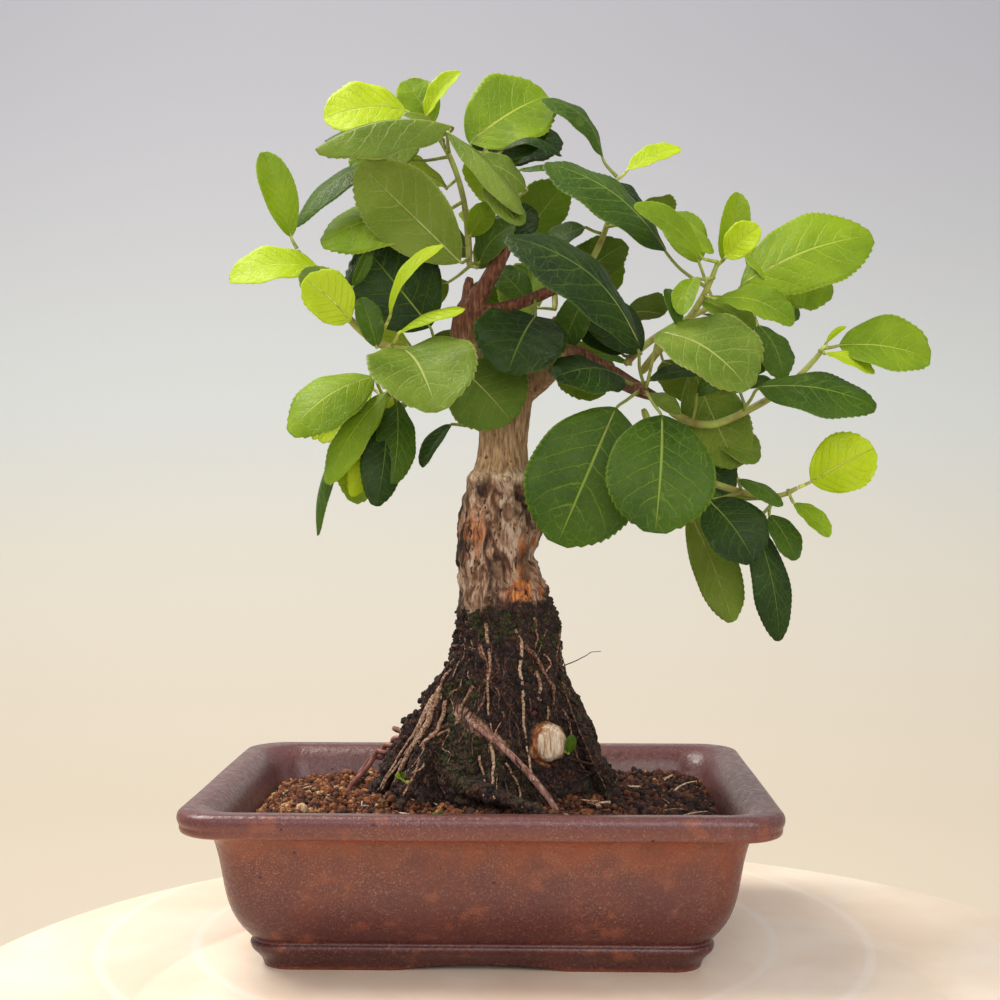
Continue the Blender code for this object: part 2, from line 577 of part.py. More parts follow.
# A leaf hangs on a shoot or a woody twig at a share of its length. base is where its blade starts, tip is its
# point, and upward is the way its upper side looks. arch is how far the middle of the blade bulges that way,
# and cup how far its two halves rise (or, below 0, droop) against its midrib, as a share of their width.
# Each row under its carrier is (share, base, tip, width, upward, arch, cup, tone).
LEAVES = {
    "crown_left": [
        (0.97, (-27, -4, 279), (-54, -9, 275), 22, (0, -0.85, 0.5), 3, 0.1, "bright"),
        (0.93, (-25, 8, 277), (-56, 6, 271), 15, (0, -0.4, 0.9), 3, -0.3, "mid"),
        (0.8, (-10, -13, 271), (-54, -30, 260), 25, (0.1, -0.6, 0.8), 6, -0.55, "pale"),
        (0.62, (-27, 0, 263), (-64, -8, 239), 14, (-0.3, -0.65, 0.7), 7, -0.2, "mid"),
        (0.36, (-18, -3, 243), (-55, -10, 233), 25, (0, -0.75, 0.65), 5, -0.2, "young"),
        (0.05, (-8, -12, 226), (-40, -30, 255), 26, (-0.5, 0.7, 0.6), 6, -0.2, "pale"),
    ],
    "crown_middle": [
        (0.4, (-6, 7, 270), (21, 13, 288), 31, (-0.25, -0.95, 0.25), 3, 0.15, "young"),
        (0.6, (0, 19, 266), (26, 26, 276), 20, (-0.1, -0.9, 0.4), 4, 0.1, "dark"),
        (0.8, (-10, -15, 266), (12, -25, 237), 13, (0.6, -0.6, 0.5), 2, 0.2, "pale"),
    ],
    "crown_right": [
        (1.0, (40, 8, 265), (19, 2, 284), 15, (0.4, -0.6, 0.7), 6, -0.2, "mid"),
        (0.86, (38, -1, 252), (12, -6, 258), 11, (0, -0.4, 1), 5, -0.3, "mid"),
    ],
    "left": [
        (1.0, (-64, -16, 234), (-73, -18, 262), 12, (0.3, -0.9, 0.1), 3, 0.3, "young"),
        (0.87, (-54, -20, 223), (-83, -24, 219), 17, (0, -0.75, 0.65), 4, 0.1, "bright"),
        (0.66, (-43, -26, 205), (-57, -33, 218), 18, (0.2, -0.85, 0.4), 2, 0.1, "bright"),
        (0.05, (-19, 2, 206), (-42, 0, 234), 32, (-0.1, -0.95, 0.2), 4, 0.2, "dark"),
        (0.33, (-25, -32, 195), (-13, -55, 174), 35, (0, -0.6, 0.8), 5, 0.3, "pale"),
    ],
    "left_low": [
        (0.9, (-37, -10, 188), (-64, -20, 169), 24, (-0.3, -0.8, 0.5), 5, -0.2, "young"),
        (1.0, (-40, -6, 176), (-56, -12, 135), 12, (-0.9, -0.5, 0.2), 6, -0.3, "mid"),
        (0.96, (-33, -13, 176), (-35, -25, 145), 15, (0.4, -0.9, 0.1), 4, -0.3, "dark"),
        (0.6, (-31, 5, 180), (-46, 5, 146), 20, (-0.3, -0.9, 0.1), 4, 0.2, "young"),
    ],
    "limb_left": [
        (0.3, (-8, -10, 191), (9, -17, 173), 28, (-0.2, -0.8, 0.5), 3, 0.1, "dark"),
    ],
    "twig_right": [
        (0.5, (17, -12, 208), (8, -27, 188), 31, (0.1, -0.7, 0.7), 4, 0.2, "dark"),
    ],
    "spur_front": [
        (0.62, (46, -16, 187), (23, -36, 186), 22, (-0.1, -0.75, 0.65), 4, -0.2, "dark"),
        (0.8, (43, -25, 177), (24, -31, 133), 37, (0.05, -0.95, 0.2), 4, 0.1, "mid"),
        (1.0, (57, -36, 174), (54, -46, 137), 34, (0.1, -0.95, 0.2), 4, 0.1, "mid"),
        (0.94, (50, -33, 195), (8, -46, 229), 33, (0.4, -0.6, 0.7), 9, -0.2, "dark"),
        (1.0, (56, -37, 200), (82, -52, 181), 33, (0.15, -0.7, 0.7), 5, 0.2, "pale"),
    ],
    "right_high": [
        (0.66, (60, -14, 229), (20, -17, 258), 28, (0.4, -0.6, 0.7), 6, -0.2, "mid"),
        (1.0, (70, -29, 225), (48, -38, 240), 11, (-0.2, -0.7, 0.6), 3, 0.2, "young"),
        (0.6, (76, -26, 212), (99, -33, 203), 17, (0.2, -0.7, 0.7), 4, 0.1, "young"),
        (0.3, (71, 3, 191), (86, 2, 158), 22, (-0.3, -0.9, 0.1), 3, 0.0, "pale"),
    ],
    "right_far": [
        (0.7, (86, -4, 219), (129, -9, 235), 29, (-0.2, -0.85, 0.4), 6, -0.1, "young"),
        (1.0, (98, 8, 221), (119, 5, 218), 20, (0.1, -0.8, 0.5), 3, -0.2, "young"),
        (0.88, (92, -3, 206), (100, -7, 187), 15, (0.5, -0.8, 0.2), 3, -0.1, "mid"),
    ],
    "right": [
        (0.4, (90, -16, 184), (127, -25, 177), 22, (0.1, -0.7, 0.7), 4, -0.2, "mid"),
        (1.0, (117, -14, 198), (146, -18, 193), 24, (0, -0.8, 0.6), 3, 0.2, "young"),
    ],
    "right_low": [
        (0.1, (66, 14, 168), (86, 14, 150), 17, (0.2, -0.9, 0.3), 2, 0.1, "dark"),
        (0.55, (74, -15, 147), (88, -23, 127), 22, (0.2, -0.9, 0.3), 3, 0.1, "dark"),
        (0.42, (69, -3, 143), (83, -7, 106), 16, (0.3, 0.9, 0.1), 4, 0.2, "pale"),
        (0.76, (90, -10, 139), (98, -11, 100), 14, (0.3, -0.9, 0.1), 4, -0.2, "dark"),
        (1.0, (108, -13, 153), (128, -17, 164), 20, (-0.2, -0.95, 0.2), 2, 0.1, "bright"),
    ],
    "back": [
        (1.0, (10, 44, 254), (-10, 50, 272), 22, (0.1, 0.7, 0.7), 4, 0.1, "young"),
        (0.7, (26, 46, 236), (48, 56, 226), 24, (0.2, 0.7, 0.7), 5, 0.1, "mid"),
        (0.45, (14, 44, 224), (-8, 56, 208), 26, (-0.1, 0.8, 0.6), 5, 0.1, "dark"),
    ],
}


def stalk_start(base, line, share):
    """Where a leaf's stalk leaves its carrier, clear of it, and the way it goes."""
    place = share * (len(line) - 1)
    lower = min(int(place), len(line) - 2)
    root = Vector(blend(line[lower], line[lower + 1], place - lower)[:3])
    heading = (base - root).normalized()
    reach = 0.0
    while line_distance(root + heading * reach, line) < GAP + PETIOLE_WIDTH / 2:
        reach += 0.1
    return root + heading * reach


def carrier_line(name):
    return shoot_line(name) if name in SHOOTS else spline(WOOD[name], 3)


def make_leaf(name, carrier, share, base, tip, width, upward, arch, cup, tone):
    """A stalk and blade of four-sided rings: left edge, midrib on top, right edge, midrib below."""
    base, tip, upward = Vector(base), Vector(tip), Vector(upward).normalized()
    root = stalk_start(base, carrier_line(carrier), share)
    along = (tip - base).normalized()
    rise = (upward - along * upward.dot(along)).normalized()
    rows = []
    for part in PETIOLE_SHARES:
        droop = math.sin(math.pi * part) * 0.06 * (base - root).length
        size = PETIOLE_WIDTH * (1.0 - 0.25 * part)
        rows.append((root.lerp(base, part) - rise * droop, size, 0.0, size))
    for part, breadth in zip(BLADE_SHARES, BLADE_WIDTHS):
        centre = base.lerp(tip, part) + rise * arch * math.sin(math.pi * (part * 0.94 + 0.03))
        rows.append((centre, width * breadth, cup, LEAF_THICK * (1.0 - 0.4 * part)))
    centres = [row[0] for row in rows]
    points = []
    for (centre, breadth, lift, thick), ahead in zip(rows, directions([*centres, tip])):
        up = (rise - ahead * rise.dot(ahead)).normalized()
        side = ahead.cross(up)
        raised = up * lift * breadth / 2
        spread = side * breadth / 2 * math.sqrt(1 - min(abs(lift), 0.8) ** 2)
        points += [centre - spread + raised, centre + up * thick * 0.25, centre + spread + raised,
                   centre - up * thick * 0.75]
    last = len(points) - 4
    faces = ring_faces(len(rows), 4)
    faces.pop()
    points.append(tip)
    for k in range(4):
        faces.append((last + k, last + (k + 1) % 4, last + 4))
    solid(name, points, faces, leaf_tones[tone]).parent = tree


# ---------------------------------------------------------------- build

clear_scene()
stand = empty("pot_stand", (*PLACE, 0.0))
tree = empty("tree_stand", (*PLACE, LIFT))

glaze = material("brown glaze", (0.13, 0.045, 0.035), 0.3)
earth = material("soil", (0.12, 0.06, 0.03), 0.95)
bark = material("bark", (0.22, 0.14, 0.09), 0.85)
green_bark = material("green shoot", (0.25, 0.36, 0.08), 0.5)
copper = material("copper wire", (0.3, 0.1, 0.07), 0.4, 1.0)
plastic = material("mesh plastic", (0.02, 0.02, 0.02), 0.5)
leaf_tones = {
    "bright": material("leaf bright", (0.55, 0.72, 0.03), 0.45),
    "young": material("leaf young", (0.27, 0.48, 0.03), 0.45),
    "mid": material("leaf mid", (0.09, 0.25, 0.03), 0.4),
    "dark": material("leaf dark", (0.03, 0.11, 0.02), 0.35),
    "pale": material("leaf pale", (0.16, 0.25, 0.08), 0.45),
}

make_pot()
make_drain_mesh("left", -DRAIN_OFFSET)
make_drain_mesh("right", DRAIN_OFFSET)
make_soil()
make_trunk()
sweep("tie_wire", wire_line(), 6, copper)
make_shoots()
for shoot, leaves in LEAVES.items():
    for number, leaf in enumerate(leaves, 1):
        make_leaf(f"leaf_{shoot}_{number}", shoot, *leaf)
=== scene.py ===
"""The looks of a small bonsai in its glazed pot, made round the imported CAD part.

Every length is in millimetres and becomes metres when a mesh is made. Places are in the pot's frame: X to
the right, Y to the back and Z up from the middle of the pot's foot. The CAD model's frame differs from it
only by POT_MIDDLE. Colours are written as the red, green and blue of a screen, from 0 to 255.
"""

import json
import math
import random

import bmesh
import bpy
import numpy as np
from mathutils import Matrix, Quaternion, Vector, noise
from mathutils.bvhtree import BVHTree


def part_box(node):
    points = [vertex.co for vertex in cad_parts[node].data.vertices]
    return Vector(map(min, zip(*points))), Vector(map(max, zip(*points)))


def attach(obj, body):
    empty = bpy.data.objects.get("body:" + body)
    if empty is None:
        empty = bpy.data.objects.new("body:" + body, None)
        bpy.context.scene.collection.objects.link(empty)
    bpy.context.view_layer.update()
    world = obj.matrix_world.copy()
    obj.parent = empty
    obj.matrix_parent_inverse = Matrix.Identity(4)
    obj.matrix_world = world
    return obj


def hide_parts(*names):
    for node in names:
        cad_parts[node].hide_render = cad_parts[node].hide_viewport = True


MM = 0.001
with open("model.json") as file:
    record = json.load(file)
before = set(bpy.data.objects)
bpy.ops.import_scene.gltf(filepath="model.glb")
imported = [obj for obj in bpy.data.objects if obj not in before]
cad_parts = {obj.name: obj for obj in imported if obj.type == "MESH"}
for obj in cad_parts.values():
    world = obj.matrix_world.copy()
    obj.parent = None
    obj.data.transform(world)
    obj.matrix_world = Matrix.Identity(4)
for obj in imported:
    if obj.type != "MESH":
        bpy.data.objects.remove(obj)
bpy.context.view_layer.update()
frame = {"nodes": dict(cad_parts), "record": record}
POT_LOW, POT_HIGH = (np.array(corner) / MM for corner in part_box("pot"))
POT_MIDDLE = np.array([(POT_LOW[0] + POT_HIGH[0]) / 2, (POT_LOW[1] + POT_HIGH[1]) / 2, POT_LOW[2]])
RIM_WIDTH, RIM_DEPTH, RIM_HEIGHT = POT_HIGH - POT_LOW
chance = random.Random(5)


# ---------------------------------------------------------------- meshes


def node_mesh(name):
    """A CAD node's points in the pot's frame, one for each place, and its faces."""
    mesh = frame["nodes"][name].data
    numbers, points, order = {}, [], []
    for vertex in mesh.vertices:
        place = tuple(round(value / MM, 3) for value in vertex.co)
        if place not in numbers:
            numbers[place] = len(points)
            points.append(place)
        order.append(numbers[place])
    faces = [[order[v] for v in face.vertices] for face in mesh.polygons]
    return np.array(points) - POT_MIDDLE, [face for face in faces if len(set(face)) == len(face)]


def new_mesh(name, points, faces):
    """A mesh in the CAD model's frame, in metres."""
    mesh = bpy.data.meshes.new(name)
    mesh.from_pydata(((np.asarray(points) + POT_MIDDLE) * MM).tolist(), [], [tuple(face) for face in faces])
    return mesh


def link(name, data):
    """A new object in the scene."""
    made = bpy.data.objects.new(name, data)
    bpy.context.scene.collection.objects.link(made)
    return made


def show(name, slot, points, faces, finishes, replaced=(), marks=None, uv=None, choice=None):
    """One shown piece, in place of any CAD nodes that it replaces.

    marks are numbers at its points, uv is where each point is on a leaf, and choice is which of the finishes
    each face has.
    """
    mesh = new_mesh(name, points, faces)
    for finish in finishes:
        mesh.materials.append(finish)
    for mark, values in (marks or {}).items():
        layer = mesh.attributes.new(mark, "FLOAT", "POINT")
        layer.data.foreach_set("value", np.asarray(values, np.float32))
    if uv is not None:
        corners = np.zeros(len(mesh.loops), np.int32)
        mesh.loops.foreach_get("vertex_index", corners)
        layer = mesh.uv_layers.new(name="UVMap")
        layer.data.foreach_set("uv", np.asarray(uv, np.float32)[corners].ravel())
    if choice is not None:
        mesh.polygons.foreach_set("material_index", np.asarray(choice, np.int32))
    mesh.shade_smooth()
    made = link(name, mesh)
    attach(made, "root")
    if replaced:
        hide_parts(*replaced)
    return made


def changed(points, faces, modifiers):
    """A mesh after modifiers, as points, faces and the normals at the points."""
    mesh = new_mesh("work", points, faces)
    made = link("work", mesh)
    for kind, settings in modifiers:
        modifier = made.modifiers.new(kind, kind)
        for setting, value in settings.items():
            setattr(modifier, setting, value)
    bpy.context.view_layer.update()
    result = made.evaluated_get(bpy.context.evaluated_depsgraph_get()).to_mesh()
    places = np.zeros(len(result.vertices) * 3)
    normals = np.zeros(len(result.vertices) * 3)
    result.vertices.foreach_get("co", places)
    result.vertices.foreach_get("normal", normals)
    found = [tuple(face.vertices) for face in result.polygons]
    bpy.data.objects.remove(made)
    bpy.data.meshes.remove(mesh)
    return places.reshape(-1, 3) / MM - POT_MIDDLE, found, normals.reshape(-1, 3)


def grid_faces(rows, columns, closed=False):
    """The quads of a grid of points, row after row. A closed one joins its last column to its first."""
    across = np.arange(columns if closed else columns - 1)
    a = (np.arange(rows - 1)[:, None] * columns + across).ravel()
    b = (np.arange(rows - 1)[:, None] * columns + (across + 1) % columns).ravel()
    return np.stack([a, b, b + columns, a + columns], axis=1).tolist()


def unit(ways):
    """Ways of length 1."""
    return ways / np.linalg.norm(ways, axis=-1, keepdims=True)


def tube(line, sides=8):
    """A closed tube along rows of (x, y, z, radius)."""
    line = np.asarray(line, float)
    ahead = unit(np.gradient(line[:, :3], axis=0))
    side = np.cross(ahead[0], (0.0, 0.0, 1.0) if abs(ahead[0][2]) < 0.9 else (1.0, 0.0, 0.0))
    turns = np.linspace(0, math.tau, sides, endpoint=False)
    points = []
    for row, way in zip(line, ahead):
        side = unit(side - way * side.dot(way))
        up = np.cross(way, side)
        points.append(row[:3] + row[3] * (np.outer(np.cos(turns), side) + np.outer(np.sin(turns), up)))
    faces = grid_faces(len(line), sides, closed=True)
    faces.append(list(reversed(range(sides))))
    faces.append(list(range((len(line) - 1) * sides, len(line) * sides)))
    return np.concatenate(points), faces


def joined(parts):
    """Meshes, each with its points and faces, as one."""
    points, faces, start = [], [], 0
    for places, sides in parts:
        points.append(places)
        faces += [[v + start for v in face] for face in sides]
        start += len(places)
    return np.concatenate(points), faces


def through(stations, values, at):
    """Values read from a smooth line through stations."""
    stations, values, at = (np.asarray(group, float) for group in (stations, values, at))
    slopes = np.gradient(values, stations, axis=0)
    i = np.clip(np.searchsorted(stations, at, side="right") - 1, 0, len(stations) - 2)
    gap = stations[i + 1] - stations[i]
    t = (at - stations[i]) / gap
    if values.ndim > 1:
        t, gap = t[:, None], gap[:, None]
    start, end = values[i], values[i + 1]
    lean = (t ** 3 - 2 * t ** 2 + t) * gap * slopes[i] + (t ** 3 - t ** 2) * gap * slopes[i + 1]
    return start + (3 * t ** 2 - 2 * t ** 3) * (end - start) + lean


def curve(rows, count):
    """A smooth line of count points through rows of any length."""
    return through(np.linspace(0, 1, len(rows)), rows, np.linspace(0, 1, count))


def wander(points, scale, octaves=3, shift=0.0):
    """Fractal noise about from -1 to 1 at each point. scale is in waves per millimetre."""
    return np.array([noise.fractal(Vector(place), 1.0, 2.0, octaves) for place in points * scale + shift])


def step(values, low, high):
    """0 before low, 1 after high and smooth between."""
    t = np.clip((values - low) / (high - low), 0.0, 1.0)
    return t * t * (3 - 2 * t)


def surface(points, faces):
    """A mesh that rays and nearest places can be found on."""
    return BVHTree.FromPolygons([tuple(place) for place in points], [tuple(face) for face in faces])


PEBBLE_SWELL = 0.38  # how far a pebble's surface goes in and out, as a share of its radius


def pebbles(count, detail):
    """A few different small lumps, each as points and faces about one unit in radius."""
    found = []
    for number in range(count):
        work = bmesh.new()
        bmesh.ops.create_icosphere(work, subdivisions=detail, radius=1.0)
        points = np.array([v.co for v in work.verts])
        faces = [[v.index for v in face.verts] for face in work.faces]
        work.free()
        swell = 1 + PEBBLE_SWELL * wander(points, 0.9, 2, 7.0 * number + 3.0)
        found.append((points * swell[:, None], faces))
    return found


def scattered(places, sizes, kinds, marks):
    """Lumps put down at places, turned every way, with the mark that each one carries."""
    parts, values = [], []
    for place, size, mark in zip(places, sizes, marks):
        points, faces = chance.choice(kinds)
        turn = Quaternion([chance.gauss(0, 1) for _ in range(4)]).normalized().to_matrix()
        shape = np.array([chance.uniform(0.7, 1.25) for _ in range(3)])
        parts.append(((points * shape) @ np.array(turn) * size + place, faces))
        values += [mark] * len(points)
    return *joined(parts), values


# ---------------------------------------------------------------- finishes


def screen(red, green, blue):
    """A screen's colour as the linear values that shaders take."""
    return (*[(value / 255) ** 2.2 for value in (red, green, blue)], 1.0)


class Finish:
    """One procedural material. Each method adds a node and gives back its output."""

    def __init__(self, name):
        self.made = bpy.data.materials.new(name)
        self.made.use_nodes = True
        self.tree = self.made.node_tree
        self.shader = self.tree.nodes["Principled BSDF"]
        self.output = self.tree.nodes["Material Output"]
        places = self.tree.nodes.new("ShaderNodeTexCoord")
        self.uv = places.outputs["UV"]
        self.place = self.add("ShaderNodeVectorMath", {0: places.outputs["Object"], "Scale": 1 / MM},
                              operation="SCALE")
        self.height = self.part(self.place, "Z")

    def add(self, kind, inputs, output=0, **settings):
        node = self.tree.nodes.new(kind)
        for setting, value in settings.items():
            setattr(node, setting, value)
        for socket, value in inputs.items():
            self.feed(node.inputs[socket], value)
        return node.outputs[output]

    def feed(self, socket, value):
        if isinstance(value, bpy.types.NodeSocket):
            self.tree.links.new(value, socket)
        else:
            socket.default_value = value

    def part(self, vector, axis):
        return self.add("ShaderNodeSeparateXYZ", {0: vector}, axis)

    def mark(self, name):
        return self.add("ShaderNodeAttribute", {}, "Fac", attribute_name=name)

    def stretch(self, x, y, z):
        """The place on the surface with each axis scaled, so that a pattern is longer along one of them."""
        return self.add("ShaderNodeVectorMath", {0: self.place, 1: (x, y, z)}, operation="MULTIPLY")

    def noise(self, scale, detail=3.0, place=None, distortion=0.0):
        inputs = {"Vector": place or self.place, "Scale": scale, "Detail": detail, "Distortion": distortion}
        return self.add("ShaderNodeTexNoise", inputs, 0)

    def cells(self, scale, feature="F1"):
        inputs = {"Vector": self.place, "Scale": scale}
        return self.add("ShaderNodeTexVoronoi", inputs, "Distance", feature=feature)

    def math(self, operation, *values):
        return self.add("ShaderNodeMath", dict(enumerate(values)), operation=operation)

    def times(self, a, b):
        return self.math("MULTIPLY", a, b)

    def plus(self, a, b):
        return self.math("ADD", a, b)

    def minus(self, a, b):
        return self.math("SUBTRACT", a, b)

    def span(self, value, low, high, start=0.0, end=1.0):
        """From start to end, smoothly, as value goes from low to high."""
        inputs = {"Value": value, "From Min": low, "From Max": high, "To Min": start, "To Max": end}
        return self.add("ShaderNodeMapRange", inputs, interpolation_type="SMOOTHSTEP")

    def mix(self, share, a, b):
        return self.add("ShaderNodeMix", {0: share, 6: a, 7: b}, 2, data_type="RGBA")

    def tint(self, colour, share, *other):
        """A colour with this share of another, which has its red, green and blue."""
        return self.mix(share, colour, screen(*other))

    def ramp(self, value, *stops):
        """Colours along value. Each stop has its place, red, green and blue."""
        node = self.tree.nodes.new("ShaderNodeValToRGB")
        self.feed(node.inputs[0], value)
        ramp = node.color_ramp
        while len(ramp.elements) < len(stops):
            ramp.elements.new(0.5)
        for element, (place, *colour) in zip(ramp.elements, stops):
            element.position = place
            element.color = screen(*colour)
        return node.outputs[0]

    def bump(self, height, depth, under=None):
        """A normal for a relief this many millimetres deep."""
        inputs = {"Height": height, "Distance": depth * MM, "Strength": 1.0}
        if under is not None:
            inputs["Normal"] = under
        return self.add("ShaderNodeBump", inputs)

    def done(self, colour, roughness, normal=None, **sockets):
        values = {"Base Color": colour, "Roughness": roughness}
        if normal is not None:
            values["Normal"] = normal
        values.update({name.replace("_", " "): value for name, value in sockets.items()})
        for socket, value in values.items():
            self.feed(self.shader.inputs[socket], value)
        return self.made

    def through_light(self, share, colour):
        """Lets light from behind through, as a leaf does."""
        behind = self.add("ShaderNodeBsdfTranslucent", {"Color": colour})
        both = self.add("ShaderNodeMixShader", {0: share, 1: self.shader.outputs[0], 2: behind})
        self.tree.links.new(both, self.output.inputs["Surface"])


def glaze_finish():
    """A glossy brown glaze, orange where it ran thin off an edge, with fine pale grains and a few pits."""
    f = Finish("brown_glaze")
    inside = f.mark("inside")
    ragged = f.plus(f.height, f.span(f.noise(0.09, 4.0), 0.25, 0.75, -5.0, 5.0))
    level = f.math("DIVIDE", ragged, RIM_HEIGHT)
    body = f.ramp(level, (0.02, 66, 27, 27), (0.2, 76, 33, 32), (0.42, 86, 41, 38),
                  (0.62, 100, 50, 40), (0.76, 126, 61, 34), (0.86, 138, 64, 28))
    patch = f.times(f.span(f.noise(0.022, 6.0, None, 0.8), 0.5, 0.75), 0.2)
    body = f.tint(body, patch, 146, 72, 38)
    streak = f.span(f.noise(0.06, 6.0, f.stretch(1.0, 1.0, 1.6), 0.8), 0.46, 0.7, 0.0, 0.3)
    body = f.tint(body, streak, 84, 46, 44)
    lip = f.ramp(f.math("DIVIDE", f.height, RIM_HEIGHT),
                 (0.857, 130, 62, 36), (0.88, 108, 60, 50), (0.91, 108, 57, 48),
                 (0.955, 96, 50, 50), (1.0, 106, 64, 63))
    colour = f.mix(f.span(f.height, LIP_BASE - 0.3, LIP_BASE + 0.2), body, lip)
    worn = f.times(f.span(f.noise(0.11, 4.0), 0.56, 0.7), 0.6)
    colour = f.tint(colour, worn, 138, 74, 48)
    lining = f.mix(f.noise(0.12, 4.0), screen(84, 48, 48), screen(114, 74, 72))
    colour = f.mix(inside, colour, lining)
    often = f.span(f.noise(0.05, 2.0), 0.3, 0.7, 0.25, 0.9)
    grains = f.span(f.noise(2.1, 2.0), 0.57, 0.68)
    often = f.times(often, f.span(f.height, 4.0, 34.0, 0.45, 1.0))
    colour = f.tint(colour, f.times(grains, often), 150, 114, 92)
    fleck = f.span(f.noise(1.0, 3.0), 0.55, 0.72, 0.0, 0.45)
    colour = f.tint(colour, fleck, 132, 92, 78)
    dark_grain = f.span(f.noise(2.7, 2.0), 0.35, 0.75, 0.0, 0.45)
    colour = f.tint(colour, dark_grain, 62, 28, 26)
    thin = f.times(f.span(f.height, 1.4, 0.2), f.noise(0.3, 3.0))
    colour = f.tint(colour, thin, 150, 74, 42)
    pit = f.span(f.cells(0.11), 0.07, 0.03)
    colour = f.tint(colour, pit, 58, 26, 24)
    roughness = f.span(f.noise(0.5, 3.0), 0.3, 0.7, 0.26, 0.44)
    relief = f.minus(f.noise(0.45, 4.0), f.times(pit, 0.6))
    normal = f.bump(f.noise(3.0, 2.0), 0.05, f.bump(relief, 0.3))
    return f.done(colour, roughness, normal, Coat_Weight=0.1, Coat_Roughness=0.2)


def soil_finish():
    """Crumbly soil. The mark called tone goes from 0, dark, to 1, pale: partly the soil's own patchy tone,
    partly painted light that makes the soil bed and its loose crumbs paler on the left and darker on the
    right.
    """
    f = Finish("soil")
    tone = f.plus(f.mark("tone"), f.span(f.noise(0.9, 4.0), 0.25, 0.75, -0.22, 0.22))
    colour = f.ramp(tone, (0.0, 24, 13, 8), (0.22, 54, 28, 16), (0.45, 98, 53, 28),
                    (0.68, 140, 84, 45), (0.85, 174, 124, 78), (1.0, 208, 180, 144))
    moss = f.times(f.mark("moss"), f.span(f.noise(0.8, 3.0), 0.35, 0.6))
    colour = f.tint(colour, moss, 58, 66, 22)
    normal = f.bump(f.noise(4.0, 3.0), 0.25, f.bump(f.noise(1.3, 5.0), 0.7))
    return f.done(colour, f.span(f.noise(1.0), 0.3, 0.7, 0.75, 1.0), normal)


def bark_finish():
    """Smooth grey bark at the top, cracked and flaking bark below it, and a dark root mass at the foot.

    The marks say how much each point of the wood is cracked, in a fissure, rusty, damp, young, earthy, mossy,
    pale, on the knob's rim, or the front root's bare bark.
    """
    f = Finish("bark")
    along = f.stretch(1.0, 1.0, 0.16)
    streaks = f.noise(1.1, 6.0, along, 0.5)
    smooth = f.ramp(streaks, (0.3, 106, 74, 46), (0.46, 154, 120, 82), (0.7, 194, 164, 122))
    scars = f.span(f.noise(0.45, 3.0), 0.64, 0.7)
    smooth = f.tint(smooth, scars, 88, 60, 44)
    plates = f.noise(0.2, 9.0, f.stretch(1.0, 1.0, 0.36), 1.4)
    cracked = f.ramp(plates, (0.32, 44, 28, 19), (0.41, 104, 70, 48),
                     (0.49, 166, 130, 102), (0.6, 206, 178, 152), (0.7, 132, 98, 74))
    grain = f.span(f.noise(1.3, 6.0, along, 0.4), 0.45, 0.66, 0.0, 0.75)
    cracked = f.tint(cracked, grain, 78, 52, 36)
    rusty = f.times(f.mark("rusty"), f.span(plates, 0.36, 0.52))
    rust = f.ramp(streaks, (0.32, 128, 60, 24), (0.5, 182, 98, 42), (0.66, 216, 156, 92))
    cracked = f.mix(rusty, cracked, rust)
    crack = f.span(f.mark("fissure"), 0.3, 0.9)
    cracked = f.tint(cracked, crack, 38, 24, 17)
    damp = f.ramp(plates, (0.35, 26, 19, 13), (0.65, 92, 72, 50))
    cracked = f.mix(f.mark("damp"), cracked, damp)
    fibres = f.noise(0.8, 7.0, f.stretch(1.0, 1.0, 0.5), 2.4)
    earthy = f.ramp(fibres, (0.32, 14, 9, 6), (0.5, 36, 22, 14), (0.6, 74, 44, 28), (0.72, 128, 88, 60))
    mossy = f.times(f.mark("moss"), f.span(f.noise(0.7, 5.0), 0.5, 0.62))
    earthy = f.tint(earthy, mossy, 54, 62, 22)
    young = f.ramp(streaks, (0.3, 62, 32, 20), (0.5, 108, 62, 40), (0.7, 152, 106, 76))
    colour = f.mix(f.mark("cracked"), smooth, cracked)
    colour = f.mix(f.mark("young"), colour, young)
    colour = f.mix(f.mark("earthy"), colour, earthy)
    pale = f.mix(f.span(streaks, 0.35, 0.6), screen(172, 128, 94), screen(226, 204, 172))
    colour = f.mix(f.mark("pale"), colour, pale)
    bare = f.ramp(streaks, (0.32, 92, 58, 46), (0.5, 148, 104, 88), (0.68, 184, 146, 128))
    colour = f.mix(f.mark("bare"), colour, bare)
    rim = f.mix(f.span(streaks, 0.4, 0.6), screen(112, 56, 24), screen(182, 110, 54))
    colour = f.mix(f.mark("rim"), colour, rim)
    relief = f.add("ShaderNodeMix", {0: f.mark("cracked"), 2: streaks, 3: plates}, 0)
    normal = f.bump(f.noise(3.0, 5.0, along), 0.35, f.bump(relief, 1.1))
    return f.done(colour, f.span(streaks, 0.3, 0.7, 0.72, 0.95), normal)


def root_finish():
    """Thin roots, from brown at tone 0 to pale at tone 1."""
    f = Finish("thin_root")
    spots = f.noise(1.4, 4.0)
    tone = f.plus(f.mark("tone"), f.span(spots, 0.25, 0.75, -0.4, 0.3))
    colour = f.ramp(tone, (0.0, 44, 26, 18), (0.35, 112, 72, 50), (0.62, 164, 126, 98),
                    (1.0, 214, 194, 164))
    return f.done(colour, f.span(spots, 0.3, 0.7, 0.6, 0.85), f.bump(f.noise(2.6, 4.0), 0.4))


def shoot_finish():
    """Green young bark, browner in patches."""
    f = Finish("green_shoot")
    patches = f.noise(0.16, 3.0)
    colour = f.ramp(patches, (0.3, 128, 104, 58), (0.46, 150, 150, 74), (0.7, 168, 186, 84))
    ridges = f.noise(1.6, 3.0, f.stretch(1.0, 1.0, 0.25))
    return f.done(colour, f.span(ridges, 0.3, 0.7, 0.42, 0.6), f.bump(ridges, 0.25), Subsurface_Weight=0.05)


